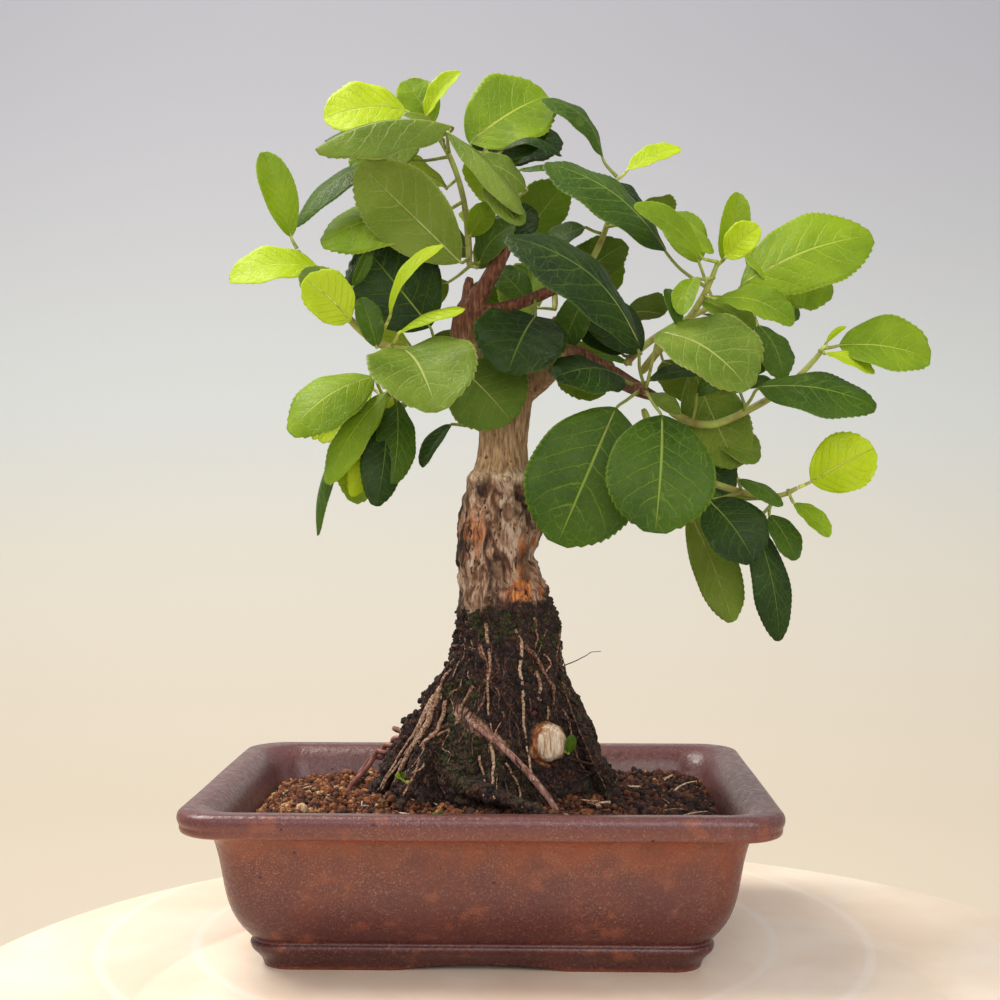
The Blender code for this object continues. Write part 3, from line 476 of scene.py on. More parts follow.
def wire_finish():
    """Brown anodised wire, rubbed paler in places."""
    f = Finish("copper_wire")
    wear = f.noise(0.35, 4.0)
    colour = f.ramp(wear, (0.3, 104, 62, 54), (0.55, 142, 92, 80), (0.75, 176, 128, 112))
    roughness = f.span(wear, 0.3, 0.7, 0.36, 0.55)
    return f.done(colour, roughness, f.bump(f.noise(1.8, 3.0), 0.12), Metallic=0.35)


def plastic_finish():
    """Dusty black plastic."""
    f = Finish("mesh_plastic")
    dust = f.noise(0.8, 4.0)
    colour = f.mix(f.span(dust, 0.5, 0.75), screen(28, 28, 28), screen(86, 66, 48))
    return f.done(colour, f.span(dust, 0.3, 0.7, 0.45, 0.8), f.bump(dust, 0.2))


# Each side has its darker and lighter blade colour, its veins, its edge, and the light that comes through.
LEAF_TONES = {
    # bright: young leaves with painted light, their colours raised to stand in for the sun shining through
    # them from behind.
    "bright": {
        "upper": ((180, 206, 10), (206, 226, 22), (228, 240, 96), (216, 232, 84), (220, 238, 16)),
        "under": ((180, 202, 36), (202, 218, 56), (220, 230, 100), (214, 228, 100), (220, 238, 30)),
    },
    "young": {
        "upper": ((112, 144, 10), (150, 178, 22), (196, 214, 74), (180, 200, 60), (184, 212, 12)),
        "under": ((132, 156, 34), (156, 178, 50), (188, 204, 88), (180, 198, 84), (180, 208, 24)),
    },
    "mid": {
        "upper": ((54, 84, 10), (80, 110, 18), (150, 176, 66), (124, 154, 48), (124, 164, 10)),
        "under": ((102, 126, 34), (122, 146, 50), (156, 176, 84), (150, 170, 80), (130, 166, 20)),
    },
    # dark: leaves in painted shade, their colours lowered to stand in for the shade inside the crown.
    "dark": {
        "upper": ((28, 50, 6), (48, 74, 14), (112, 140, 54), (82, 112, 32), (78, 120, 6)),
        "under": ((84, 108, 34), (104, 128, 46), (142, 160, 76), (134, 152, 68), (104, 140, 14)),
    },
    "pale": {
        "upper": ((104, 130, 32), (138, 160, 52), (188, 200, 106), (178, 186, 96), (142, 174, 26)),
        "under": ((118, 138, 48), (140, 158, 66), (176, 188, 104), (174, 184, 100), (144, 172, 36)),
    },
}

VEINS = 7.0  # side veins on each half of a leaf
VEIN_LEAN = 0.3  # how far a side vein has gone towards the tip where it meets the leaf's edge
VEIN_BEND = 1.25  # above 1, a side vein bends more towards the tip the further out it is
SIDE_VEINS_SHOW = 0.5  # how strongly each kind shows beside the midrib, which has 1
NET_SHOWS = 0.26
FINE_NET_SHOWS = 0.12


def leaf_finish(tone, side):
    """A leaf's upper side, with paler sunken veins, or its duller underside, with raised ones."""
    dark, light, vein, edge, glow = (screen(*colour) for colour in LEAF_TONES[tone][side])
    upper = side == "upper"
    f = Finish(f"leaf_{tone}_{side}")
    across = f.math("ABSOLUTE", f.math("MULTIPLY_ADD", f.part(f.uv, "X"), 2.0, -1.0))
    along = f.part(f.uv, "Y")
    lean = f.times(f.math("POWER", across, VEIN_BEND), VEIN_LEAN)
    ripple = f.span(f.noise(0.25, 2.0), 0.2, 0.8, -0.012, 0.012)
    count = f.times(f.plus(f.minus(along, lean), ripple), VEINS)
    beside = f.math("ABSOLUTE", f.minus(f.math("FRACT", count), 0.5))
    thin_out = f.span(across, 0.0, 1.0, 0.085, 0.05)
    side_vein = f.times(f.span(f.minus(0.5, beside), thin_out, 0.0), f.span(across, 0.99, 0.75))
    middle = f.span(f.plus(across, f.times(along, 0.025)), 0.052, 0.026)
    net = f.span(f.cells(0.3, feature="DISTANCE_TO_EDGE"), 0.05, 0.0)
    fine = f.span(f.cells(1.1, feature="DISTANCE_TO_EDGE"), 0.08, 0.0)
    side_vein = f.times(side_vein, f.span(along, 0.9, 0.72))
    veins = f.math("MAXIMUM", middle, f.times(side_vein, SIDE_VEINS_SHOW))
    veins = f.math("MAXIMUM", veins, f.times(net, NET_SHOWS))
    blade = f.mix(f.span(f.noise(0.055, 3.0), 0.3, 0.7), dark, light)
    blade = f.mix(f.span(f.noise(0.9, 3.0), 0.3, 0.8, 0.0, 0.3), blade, dark)
    colour = f.mix(f.times(fine, FINE_NET_SHOWS), blade, vein)
    colour = f.mix(veins, colour, vein)
    colour = f.mix(f.span(across, 0.945, 0.995, 0.0, 0.7), colour, edge)
    relief = f.times(veins, -1.0 if upper else 1.0)
    relief = f.plus(relief, f.times(f.noise(0.9, 3.0), 0.5))
    relief = f.minus(relief, f.times(fine, FINE_NET_SHOWS))
    roughness = f.span(f.noise(0.3, 3.0), 0.3, 0.7, 0.36 if upper else 0.6, 0.52 if upper else 0.75)
    f.through_light(0.32, f.mix(veins, glow, vein))
    return f.done(colour, roughness, f.bump(relief, 0.32), Specular_IOR_Level=0.32 if upper else 0.15)


def stalk_finish(tone):
    """A stalk and midrib, in the leaf's vein colour and yellower in patches."""
    f = Finish(f"leaf_{tone}_stalk")
    patches = f.noise(0.4, 3.0)
    colour = f.mix(f.span(patches, 0.3, 0.7), screen(*LEAF_TONES[tone]["under"][2]), screen(150, 150, 70))
    f.through_light(0.15, colour)
    return f.done(colour, f.span(patches, 0.3, 0.7, 0.4, 0.6), f.bump(f.noise(1.8, 3.0), 0.12))


# ---------------------------------------------------------------- pot

LIP_HEIGHT = 7.6
LIP_BASE = RIM_HEIGHT - LIP_HEIGHT
RIM_CORNER = 14.0
LEAST_CORNER = 3.0
CORNER_SHRINK = 0.2  # how much smaller a corner gets with each millimetre of inset
CORNER_POINTS = 14
RUN_STEP = 3.0
ARCH_WIDTH = 52.0
ARCH_HEIGHT = 2.0
ARCH_FROM = 20  # only the foot's front and back, this far from the middle, have an arch
FOOT_HEIGHT = 8.0
FLOOR_BASE = 7.0
FLOOR_TOP = 12.0
DRAIN_RADIUS = 8.0
DRAIN_OFFSET = 45.0
CLAY_SWAY = 0.35  # how far the rim's level wanders, as hand-finished clay does

# The outer wall from the foot to the lip, rows of (inset from the rim's outline, height).
POT_OUTSIDE = [
    (23.5, 0.0), (22.7, 2.4), (21.1, 4.6), (19.9, 6.4), (19.7, 8.0), (20.5, 8.9), (19.5, 10.4),
    (17.2, 13.6), (14.6, 18.8), (13.0, 24.5), (11.9, 31.2), (10.6, 38.3), (9.1, 43.0), (7.5, 45.0),
    (1.9, 45.4), (1.0, 46.0), (0.6, 47.4), (0.6, 48.1), (0.3, 48.9), (0.0, 50.4), (0.4, 52.0), (1.6, 53.0),
]

# The inside, down from the lip to the floor, and the hollow under the floor, up from the foot.
POT_INSIDE = [
    (7.0, 52.7), (9.4, 51.2), (11.6, 48.4), (13.4, 43.4), (16.4, 35.4), (18.2, 25.7), (21.2, 18.0),
    (25.2, 13.7), (29.0, FLOOR_TOP),
]
POT_UNDER = [(29.5, 0.0), (29.8, 3.5), (30.5, FLOOR_BASE)]
PROFILE_ROWS = 3  # rows of the mesh for each row of a profile


def pot_ring(inset, height):
    """One level of the pot: a rounded rectangle this far inside the rim's outline."""
    half_x, half_y = RIM_WIDTH / 2 - inset, RIM_DEPTH / 2 - inset
    radius = max(RIM_CORNER - CORNER_SHRINK * inset, LEAST_CORNER)
    runs = [RIM_WIDTH, RIM_DEPTH, RIM_WIDTH, RIM_DEPTH]
    ring = []
    for quarter in range(4):
        sign_x = 1 if quarter in (0, 3) else -1
        sign_y = 1 if quarter in (0, 1) else -1
        for number in range(CORNER_POINTS):
            angle = math.pi / 2 * (quarter + number / (CORNER_POINTS - 1))
            ring.append((sign_x * (half_x - radius) + radius * math.cos(angle),
                         sign_y * (half_y - radius) + radius * math.sin(angle), height))
    full = []
    for quarter in range(4):
        full += ring[quarter * CORNER_POINTS:(quarter + 1) * CORNER_POINTS]
        start = np.array(full[-1])
        end = np.array(ring[(quarter + 1) * CORNER_POINTS % len(ring)])
        steps = int(runs[quarter] / RUN_STEP)
        full += [tuple(start + (end - start) * i / steps) for i in range(1, steps)]
    return np.array(full)


def rounded(profile, between):
    """A profile with more rows, smooth between the ones given."""
    profile = np.array(profile)
    reach = np.concatenate([[0.0], np.cumsum(np.linalg.norm(np.diff(profile, axis=0), axis=1))])
    at = np.concatenate([np.linspace(a, b, between, endpoint=False) for a, b in zip(reach, reach[1:])])
    return np.vstack([through(reach, profile, at), profile[-1]])


def make_pot():
    """The glazed pot with its rolled lip, its arched foot and its drainage holes."""
    outside, inside = rounded(POT_OUTSIDE, PROFILE_ROWS), rounded(POT_INSIDE, PROFILE_ROWS)
    rings = [pot_ring(*row) for row in np.vstack([outside, inside])]
    count = len(rings[0])
    lining = [0.0] * (count * (len(outside) - 1)) + [1.0] * (count * (len(inside) + 1))
    faces = grid_faces(len(rings), count, closed=True)
    last = (len(rings) - 1) * count
    faces.append(list(range(last, last + count)))
    under = [pot_ring(*row) for row in POT_UNDER]
    first = len(rings) * count
    below = grid_faces(len(under), count, closed=True)
    faces += [[v + first for v in (b, a, d, c)] for a, b, c, d in below]
    faces += [[(k + 1) % count, k, first + k, first + (k + 1) % count] for k in range(count)]
    faces.append(list(range(first + (len(under) - 1) * count, first + len(under) * count)))
    points = np.concatenate(rings + under)
    lining += [0.0] * (len(under) * count)
    points[:, 2] += CLAY_SWAY * wander(points, 0.018, 2) * step(points[:, 2], 20.0, 48.0)
    points[:, 2] = np.minimum(points[:, 2], RIM_HEIGHT)
    middle = np.clip(1 - np.abs(2 * points[:, 0] / ARCH_WIDTH), 0, 1)
    arch = ARCH_HEIGHT * np.sin(middle * math.pi / 2) ** 0.7 * (np.abs(points[:, 1]) > ARCH_FROM)
    low = points[:, 2] < FOOT_HEIGHT - 1
    points[low, 2] = arch[low] + points[low, 2] * (1 - arch[low] / (FOOT_HEIGHT - 1))
    pot = show("bonsai_pot", "glaze", points, faces, [glaze_finish()], ["pot"], {"inside": lining})
    for side in (-1, 1):
        line = [(side * DRAIN_OFFSET, 0, z, DRAIN_RADIUS) for z in (FLOOR_BASE - 3, FLOOR_TOP + 3)]
        cutter = link("drain_cutter", new_mesh("drain_cutter", *tube(line, 40)))
        cut = pot.modifiers.new("drain", "BOOLEAN")
        cut.object, cut.operation, cut.solver = cutter, "DIFFERENCE", "EXACT"
        settle(pot)
        bpy.data.objects.remove(cutter)


def settle(made):
    """Turns a piece's modifiers into its own mesh."""
    bpy.context.view_layer.update()
    mesh = bpy.data.meshes.new_from_object(made.evaluated_get(bpy.context.evaluated_depsgraph_get()))
    made.modifiers.clear()
    made.data = mesh


# ---------------------------------------------------------------- soil

SOIL_VOXEL = 1.1
CRUMBS = 8500
CRUMB_DETAIL = 2
LEAST_CRUMB = 0.3
LARGEST_CRUMB = 1.9
SOIL_HALF_X, SOIL_HALF_Y = 78, 54  # crumbs lie within these of the pot's middle
SOIL_EDGE = 38.0  # the soil's top is everywhere above this level
ABOVE_SOIL = 80.0
LITTER = 150
soil_below = surface(*node_mesh("soil"))


def soil_top(x, y):
    """The height of the CAD soil here, or None off its top."""
    hit = soil_below.ray_cast(Vector((x, y, ABOVE_SOIL)), Vector((0, 0, -1)))[0]
    return hit.z if hit is not None and hit.z > SOIL_EDGE else None


def make_soil():
    """The CAD soil at a fine grain, with a lumpy top."""
    voxel = [("REMESH", {"mode": "VOXEL", "voxel_size": SOIL_VOXEL * MM})]
    points, faces, normals = changed(*node_mesh("soil"), voxel)
    top = step(points[:, 2], 37.0, 41.0)
    lumps = 0.9 * wander(points, 0.16, 3) + 0.8 * wander(points, 0.5, 3, 5.0)
    points = points + normals * (top * lumps)[:, None]
    # Painted light: besides its patches, the tone falls from left to right, pale soil on the left and dark on
    # the right.
    tone = 0.3 + 0.3 * wander(points, 0.03, 2) - 0.0016 * points[:, 0]
    moss = step(wander(points, 0.05, 2, 11.0), 0.25, 0.5)
    show("soil_bed", "soil", points, faces, [soil], ["soil"], {"tone": tone, "moss": moss})


def make_crumbs():
    """Loose crumbs on the soil, with painted light that makes them paler and redder on the left."""
    places, sizes, tones = [], [], []
    while len(places) < CRUMBS:
        x, y = chance.uniform(-SOIL_HALF_X, SOIL_HALF_X), chance.uniform(-SOIL_HALF_Y, SOIL_HALF_Y)
        z = soil_top(x, y)
        if z is None:
            continue
        size = min(LEAST_CRUMB + chance.expovariate(3.4), LARGEST_CRUMB)
        places.append((x, y, z + 0.45 * size + chance.uniform(0.0, 0.8)))
        sizes.append(size)
        # Painted light: the tone falls from left to right; the random spread about it is the crumbs' own.
        tones.append(min(max(0.4 - 0.0022 * x + chance.gauss(0, 0.17), 0.05), 0.97))
    points, faces, tone = scattered(places, sizes, pebbles(6, CRUMB_DETAIL), tones)
    show("soil_crumbs", "soil", points, faces, [soil], marks={"tone": tone, "moss": np.zeros(len(tone))})


def make_litter():
    """Bits of bark, dry leaf and pale grit lying on the soil."""
    parts, tones = [], []
    for _ in range(LITTER):
        x, y = chance.uniform(-72, 74), chance.uniform(-50, 48)
        z = soil_top(x, y)
        if z is None:
            continue
        heading, pitch = chance.uniform(0, math.tau), chance.gauss(0, 0.25)
        way = np.array([math.cos(heading), math.sin(heading), pitch])
        length, thick = chance.uniform(2.5, 9.0), chance.uniform(0.25, 0.6)
        bend = np.array([-way[1], way[0], 0.3]) * chance.uniform(-0.18, 0.18) * length
        rows = [(*(np.array([x, y, z + 1.6]) + way * length * t + bend * math.sin(math.pi * t)),
                 thick * (1 - 0.6 * t)) for t in np.linspace(0, 1, 6)]
        parts.append(tube(rows, 6))
        tones += [chance.choice((0.1, 0.25, 0.4, 0.55, 0.9))] * len(parts[-1][0])
    show("soil_litter", "soil", *joined(parts), [thin_root], marks={"tone": tones})


# ---------------------------------------------------------------- trunk

WOOD_VOXEL = 0.62
KNOB = np.array([22.0, -26.8, 68.0])  # the middle of the cut stub's face
KNOB_STRETCH = (1.1, 0.84)  # makes distances to the knob's middle the same all round its oval
THIN_ROOTS = 170
ROOT_CRUMBS = 5000
ROOT_MASS_TOP = (108.0, 112.0)  # between these heights the root mass gives way to bark
CRACKED_FROM = (100.0, 108.0)
CRACKED_TO = (151.0, 156.0)
YOUNG_FROM = (196.0, 206.0)
CALLUS_HEIGHT = 155.0
# The middle of the root that crosses the front, which the CAD wood has too.
FRONT_ROOT = [(-8, -17, 77), (-2, -24, 73), (6, -27.5, 67.5), (14, -30, 60), (21, -32, 52), (27, -34, 43)]


def near_line(points, line):
    """How far each point is from a line of points."""
    best = np.full(len(points), np.inf)
    for a, b in zip(np.array(line, float), np.array(line[1:], float)):
        t = np.clip((points - a) @ (b - a) / (b - a).dot(b - a), 0, 1)
        best = np.minimum(best, np.linalg.norm(points - (a + t[:, None] * (b - a)), axis=1))
    return best


def make_trunk():
    """The CAD wood at a fine grain, with its bark raised and cracked, its callus ring and its root mass."""
    voxel = [("REMESH", {"mode": "VOXEL", "voxel_size": WOOD_VOXEL * MM}),
             ("SMOOTH", {"factor": 0.5, "iterations": 4})]
    points, faces, normals = changed(*node_mesh("trunk"), voxel)
    height = points[:, 2]
    sway = 4.0 * wander(points, 0.07, 2)
    bole = step(-np.abs(points[:, 0] - 5.0), -24.0, -17.0)
    clump = 5.0 * wander(points, 0.17, 3, 13.0) - 0.35 * (points[:, 0] - 4.0)
    earthy = 1 - step(height + sway + clump, *ROOT_MASS_TOP)
    cracked = step(height + sway, *CRACKED_FROM) * (1 - step(height + 0.5 * sway, *CRACKED_TO))
    right_limb = step(points[:, 0], 22.0, 34.0) * step(height, 150.0, 170.0)
    young = np.maximum(step(height, *YOUNG_FROM), right_limb)
    grooves = wander(points, np.array([0.2, 0.2, 0.045]), 4)
    fissure = cracked * (1 - step(np.abs(grooves), 0.0, 0.07))
    plates = wander(points, np.array([0.2, 0.2, 0.06]), 4, 9.0)
    lumps = wander(points, 0.1, 3, 2.0)
    crumbs = wander(points, 0.42, 3, 4.0)
    callus = np.exp(-(((height - CALLUS_HEIGHT - 0.5 * sway) / 1.9) ** 2)) * bole
    front = near_line(points, FRONT_ROOT)
    buried = step(front, 2.0, 3.0)
    knob = np.linalg.norm((points - KNOB)[:, [0, 2]] * KNOB_STRETCH, axis=1)
    on_knob = (points[:, 1] < -20.0) & (knob < 9.0)
    rough_root = earthy * buried * np.where(on_knob, step(knob, 6.0, 7.5), 1.0)
    relief = cracked * (1.3 * plates + 1.3 * lumps - 0.9 * fissure + 0.45 * crumbs)
    relief += rough_root * (1.7 * lumps + 1.3 * crumbs)
    relief += callus * (0.9 + 0.5 * crumbs)
    relief += (1 - cracked - earthy).clip(0, 1) * (0.2 * plates + 0.12 * crumbs)
    relief -= 0.5 * (1 - step(front, 2.2, 2.8))
    points = points + normals * relief[:, None]
    streaky = wander(points, np.array([0.5, 0.5, 0.12]), 3, 6.0)
    on_face = on_knob * (1 - step(knob + 0.8 * crumbs, 4.8, 5.8))
    pale = np.maximum(callus * step(streaky, -0.5, 0.3), on_face)
    rim = on_knob * (1 - step(knob + 0.6 * crumbs, 6.4, 7.4)) * (1 - on_face)
    bare = 1 - step(front, 2.0, 2.5)
    rusty = cracked * step(wander(points, np.array([0.09, 0.09, 0.04]), 3, 3.3), 0.0, 0.2)
    rusty *= 1 - step(height, 132.0, 150.0)
    damp = cracked * np.maximum(step(-points[:, 0] + 0.5 * sway, 6.5, 9.5), step(plates, 0.2, 0.6) * 0.7)
    damp *= step(wander(points, 0.12, 3, 17.0), -0.3, 0.15)
    moss = earthy * step(wander(points, 0.06, 2, 8.0), 0.1, 0.4)
    marks = {"earthy": earthy * buried * (1 - on_knob * (1 - step(knob, 6.2, 7.4))), "cracked": cracked,
             "fissure": fissure, "young": young, "pale": pale, "rim": rim, "rusty": rusty, "moss": moss,
             "bare": bare, "damp": damp}
    show("bonsai_trunk", "bark", points, faces, [bark_finish()], ["trunk"], marks)
    return surface(points, faces)


FAR = 90.0  # further from the middle of the trunk than any of its lower part
TRUNK_MIDDLE = (4.0, -1.0)


def on_front(wood, x, z):
    """The place on the trunk's front at this x and height."""
    return wood.ray_cast(Vector((x, -FAR, z)), Vector((0, 1, 0)))[0]


def from_side(wood, angle, z):
    """The outermost place on the trunk at this angle round it, and the way out from it."""
    way = Vector((math.cos(angle), math.sin(angle), 0))
    hit = wood.ray_cast(Vector((*TRUNK_MIDDLE, z)) + way * FAR, -way)[0]
    return hit, way


# The thin roots that show most on the front, rows of (x, height), with the thickness and the tone of each.
FRONT_FIBRES = [
    (0.65, 0.55, [(0.5, 106), (0.9, 101), (2.2, 94), (1.4, 86), (1.8, 79), (2.6, 72)]),
    (0.65, 0.7, [(10.4, 104), (12.4, 99), (12.0, 92), (12.8, 84), (13.2, 74), (14.6, 64), (16.5, 57)]),
    (0.85, 0.3, [(13.4, 99), (17.2, 95), (20.0, 90), (22.6, 85), (23.0, 79)]),
    (0.5, 0.4, [(16.6, 108), (17.4, 103), (17.0, 98)]),
    (0.45, 0.6, [(-1.5, 64), (-0.6, 61), (0.6, 57), (0.4, 53)]),
    (0.65, 0.7, [(2.6, 68), (3.4, 62), (3.2, 57), (4.0, 52)]),
    (0.45, 0.6, [(7.4, 62), (9.0, 59), (11.6, 54), (12.6, 50)]),
    (0.4, 0.5, [(-11.0, 97.5), (-7.0, 98.2), (-3.0, 97.4)]),
    (0.35, 0.5, [(21.0, 104), (19.0, 99), (17.8, 96)]),
    (1.2, 0.6, [(-14.5, 84), (-17.5, 78), (-20.0, 71), (-24.5, 64), (-28.5, 56), (-31.0, 50)]),
    (0.7, 0.75, [(-17.0, 82), (-20.5, 75), (-23.0, 68), (-28.0, 60), (-33.0, 53), (-35.0, 49)]),
    (0.7, 0.5, [(-12.8, 80), (-15.0, 72), (-20.0, 66), (-22.0, 59), (-26.0, 51)]),
    (0.5, 0.7, [(-19.0, 79), (-23.0, 70), (-27.0, 64), (-32.0, 56), (-36.0, 49)]),
    (0.45, 0.35, [(26.0, 78), (28.5, 72), (30.0, 64), (34.0, 56), (38.0, 50)]),
    (0.4, 0.25, [(24.0, 92), (27.0, 82), (31.0, 72), (36.0, 60), (40.0, 52)]),
]


# The thin root that stands off the root mass, to the right.
LOOSE_ROOT = [(24.5, -12, 90.5), (29, -12.5, 92.8), (34, -13, 95.6), (38.5, -13, 97.2)]
LOOSE_THICK = 0.2
KNOB_CLEAR = 8.0  # thin roots and crumbs keep about this far from the middle of the cut stub's face


def make_fibres(wood):
    """Thin roots: the ones that show most, many more down the root mass, and one that stands off it."""
    parts, tones = [], []

    def lay(line, thick, tone):
        rows = curve([(*place, thick) for place in line], 5 * len(line))
        rows[:, 3] *= np.linspace(1.1, 0.5, len(rows))
        rows[:, :3] += np.stack([wander(rows[:, :3], 0.3, 2, shift) for shift in (1.0, 5.0, 9.0)], 1) * 0.5
        parts.append(tube(rows, 7))
        tones.extend([tone] * len(parts[-1][0]))

    for thick, tone, rows in FRONT_FIBRES:
        found = [on_front(wood, x, z) for x, z in rows]
        lay([place - Vector((0, 0.6, 0)) for place in found if place is not None], thick, tone)
    for _ in range(THIN_ROOTS):
        angle, z = chance.uniform(0, math.tau), chance.uniform(62, 106)
        thick = chance.uniform(0.18, 0.6)
        line = []
        for _ in range(chance.randint(4, 9)):
            place, way = from_side(wood, angle, z)
            if place is None or (place - Vector(KNOB)).length < KNOB_CLEAR:
                break
            line.append(place + way * thick * 0.3)
            angle += chance.gauss(0, 0.09)
            z -= chance.uniform(1.5, 6.0)
        if len(line) > 2 and z > 40:
            lay(line, thick, chance.choice((0.0, 0.0, 0.1, 0.15, 0.3, 0.55)))
    lay(LOOSE_ROOT, LOOSE_THICK, 0.0)
    show("thin_roots", "bark", *joined(parts), [thin_root], marks={"tone": tones})


def make_root_crumbs(wood):
    """Soil, grit and moss that stick to the root mass and break up its outline."""
    places, sizes, tones = [], [], []
    for _ in range(ROOT_CRUMBS):
        z = 44 + 66 * chance.random() ** 1.1
        place, way = from_side(wood, chance.uniform(0, math.tau), z)
        front = near_line(np.array([place]), FRONT_ROOT)[0] if place is not None else 0
        if place is None or front < 2.8:
            continue
        if place.y < -20 and (place - Vector(KNOB)).length < KNOB_CLEAR - 0.5:
            continue
        size = 0.22 + chance.expovariate(3.2)
        if size < 1.6:
            places.append(np.array(place) + np.array(way) * 0.1)
            sizes.append(size)
            tones.append(chance.choice((0.0, 0.0, 0.02, 0.05, 0.08, 0.1, 0.14, 0.2, 0.3)))
    points, faces, tone = scattered(places, sizes, pebbles(5, 1), tones)
    moss = step(wander(points, 0.05, 2, 8.0), 0.15, 0.4)
    show("root_soil", "soil", points, faces, [soil], marks={"tone": tone, "moss": moss})


# ---------------------------------------------------------------- shoots, wire and drainage mesh

SHOOT_RADIUS = 1.3
WIRE_RADIUS = 1.0
CORNER_PUSH = 0.04  # how far corners go out before subdivision draws them in, as a share of the radius
UNEVEN = 0.05  # the same for the lumps on a shoot or the wire


def make_round(name, slot, node, finish, radius):
    """A six-sided CAD tube made round and a little uneven."""
    points, faces = node_mesh(node)
    _, _, normals = changed(points, faces, [])
    smooth = [("SUBSURF", {"levels": 2, "render_levels": 2})]
    points, faces, normals = changed(points + normals * radius * CORNER_PUSH, faces, smooth)
    points = points + normals * (UNEVEN * radius * wander(points, 0.6, 2))[:, None]
    show(name, slot, points, faces, [finish], [node])


# ---------------------------------------------------------------- leaves

BLADE_STATIONS = (0.0, 0.1, 0.26, 0.46, 0.67, 0.86, 1.0)
BLADE_WIDTHS = (0.14, 0.46, 0.8, 0.98, 0.98, 0.72, 0.5)  # shares of the full width at those stations
BLADE_THICK = 0.24
LEAF_COLUMNS = 17
STALK = 0.68
STALK_SUNK = 1.5  # how far a stalk goes into its shoot
RIB_SUNK = 0.28  # how far the midrib's middle is below the blade's
END_HOLD = 0.68  # how wide the blade would still be at its tip, before its end is rounded off
END_ROUND = 0.8  # where along the blade the rounding starts
TOOTH = 1.9  # from one tooth of a leaf's edge to the next
TOOTH_SAW = np.array([0.0, 0.55, 1.0])  # how far out each row of one tooth is
FEWEST_TEETH = 6
MIDDLING_HALF = 12.0  # the half width of a middling leaf, for the sizes of puckers and teeth
CAD_RINGS = 9  # the rings of a CAD leaf, the first three of them round its stalk
STALK_RINGS = 3


def cad_leaf(node):
    """A CAD leaf's rings from its stalk to its blade's end, and its tip.

    A ring is its centre, the ends of its left and right halves and its upper side's way. The rings are found
    by walking from face to face away from the one point that leaves CAD_RINGS rings of four points behind.
    """
    points, faces = node_mesh(node)
    near = {}
    for face in faces:
        for v in face:
            near.setdefault(v, set()).update(w for w in face if w != v)
    for start in near:
        rings, seen, edge = [], {start}, {start}
        while edge:
            edge = set().union(*(near[v] for v in edge)) - seen
            seen |= edge
            rings.append(sorted(edge))
        rings = rings[:-1]
        if len(rings) == CAD_RINGS and all(len(ring) == 4 for ring in rings):
            break
    rings = [points[ring] for ring in reversed(rings)]
    tip = points[start]
    ahead = rings[1].mean(axis=0) - rings[0].mean(axis=0)
    reach = [np.linalg.norm(rings[0] - place, axis=1).sum() for place in rings[0]]
    upward = rings[0][int(np.argmin(reach))] - rings[0][int(np.argmax(reach))]
    across = np.cross(ahead, upward)
    found = []
    for number, ring in enumerate(rings):
        from_middle = ring - ring.mean(axis=0)
        if number < STALK_RINGS:
            over = ring[int(np.argmax(from_middle @ upward))]
            under = ring[int(np.argmin(from_middle @ upward))]
        else:
            order = np.argsort(from_middle @ across)
            over, under = sorted(ring[order[1:3]], key=lambda place: -place @ upward)
        ends = [place for place in ring if not (np.allclose(place, over) or np.allclose(place, under))]
        left, right = sorted(ends, key=lambda place: place @ across)
        upward = unit(over - under)
        found.append((over + (under - over) * 0.25, left, right, upward))
        across = right - left
    return found, tip


def cad_blade(node):
    """The stalk's line and the blade's stations of a CAD leaf: centre, half width, lift and upward way."""
    rings, tip = cad_leaf(node)
    stalk = [ring[0] for ring in rings[:STALK_RINGS]]
    blade = rings[STALK_RINGS:]
    centres = [ring[0] for ring in blade] + [tip]
    halves = [(ring[2] - ring[1]) / 2 for ring in blade]
    lifts = [(ring[2] + ring[1]) / 2 - ring[0] for ring in blade]
    ups = [ring[3] for ring in blade]
    return stalk, centres, halves + [halves[-1] * END_HOLD], lifts + [lifts[-1] * END_HOLD], ups + [ups[-1]]


def free_blade(root, base, tip, width, upward, arch, cup):
    """The same for a leaf that stands only in this file, from the place its stalk leaves the shoot."""
    base, tip, upward = np.array(base, float), np.array(tip, float), np.array(upward, float)
    along = unit(tip - base)
    rise = unit(upward - along * upward.dot(along))
    shares = np.array(BLADE_STATIONS)
    widths = np.array(BLADE_WIDTHS) * width
    bulge = arch * np.sin(math.pi * (shares * 0.94 + 0.03))
    centres = base + np.outer(shares, tip - base) + np.outer(bulge, rise)
    ahead = unit(np.gradient(centres, axis=0))
    ups = unit(rise - ahead * (ahead @ rise)[:, None])
    sides = np.cross(ahead, ups)
    halves = sides * (widths / 2 * math.sqrt(1 - min(abs(cup), 0.8) ** 2))[:, None]
    lifts = ups * (widths / 2 * cup)[:, None]
    stalk = [np.array(root), (np.array(root) + base) / 2 - rise * 0.4, base - along * 0.1]
    return stalk, centres, halves, lifts, ups


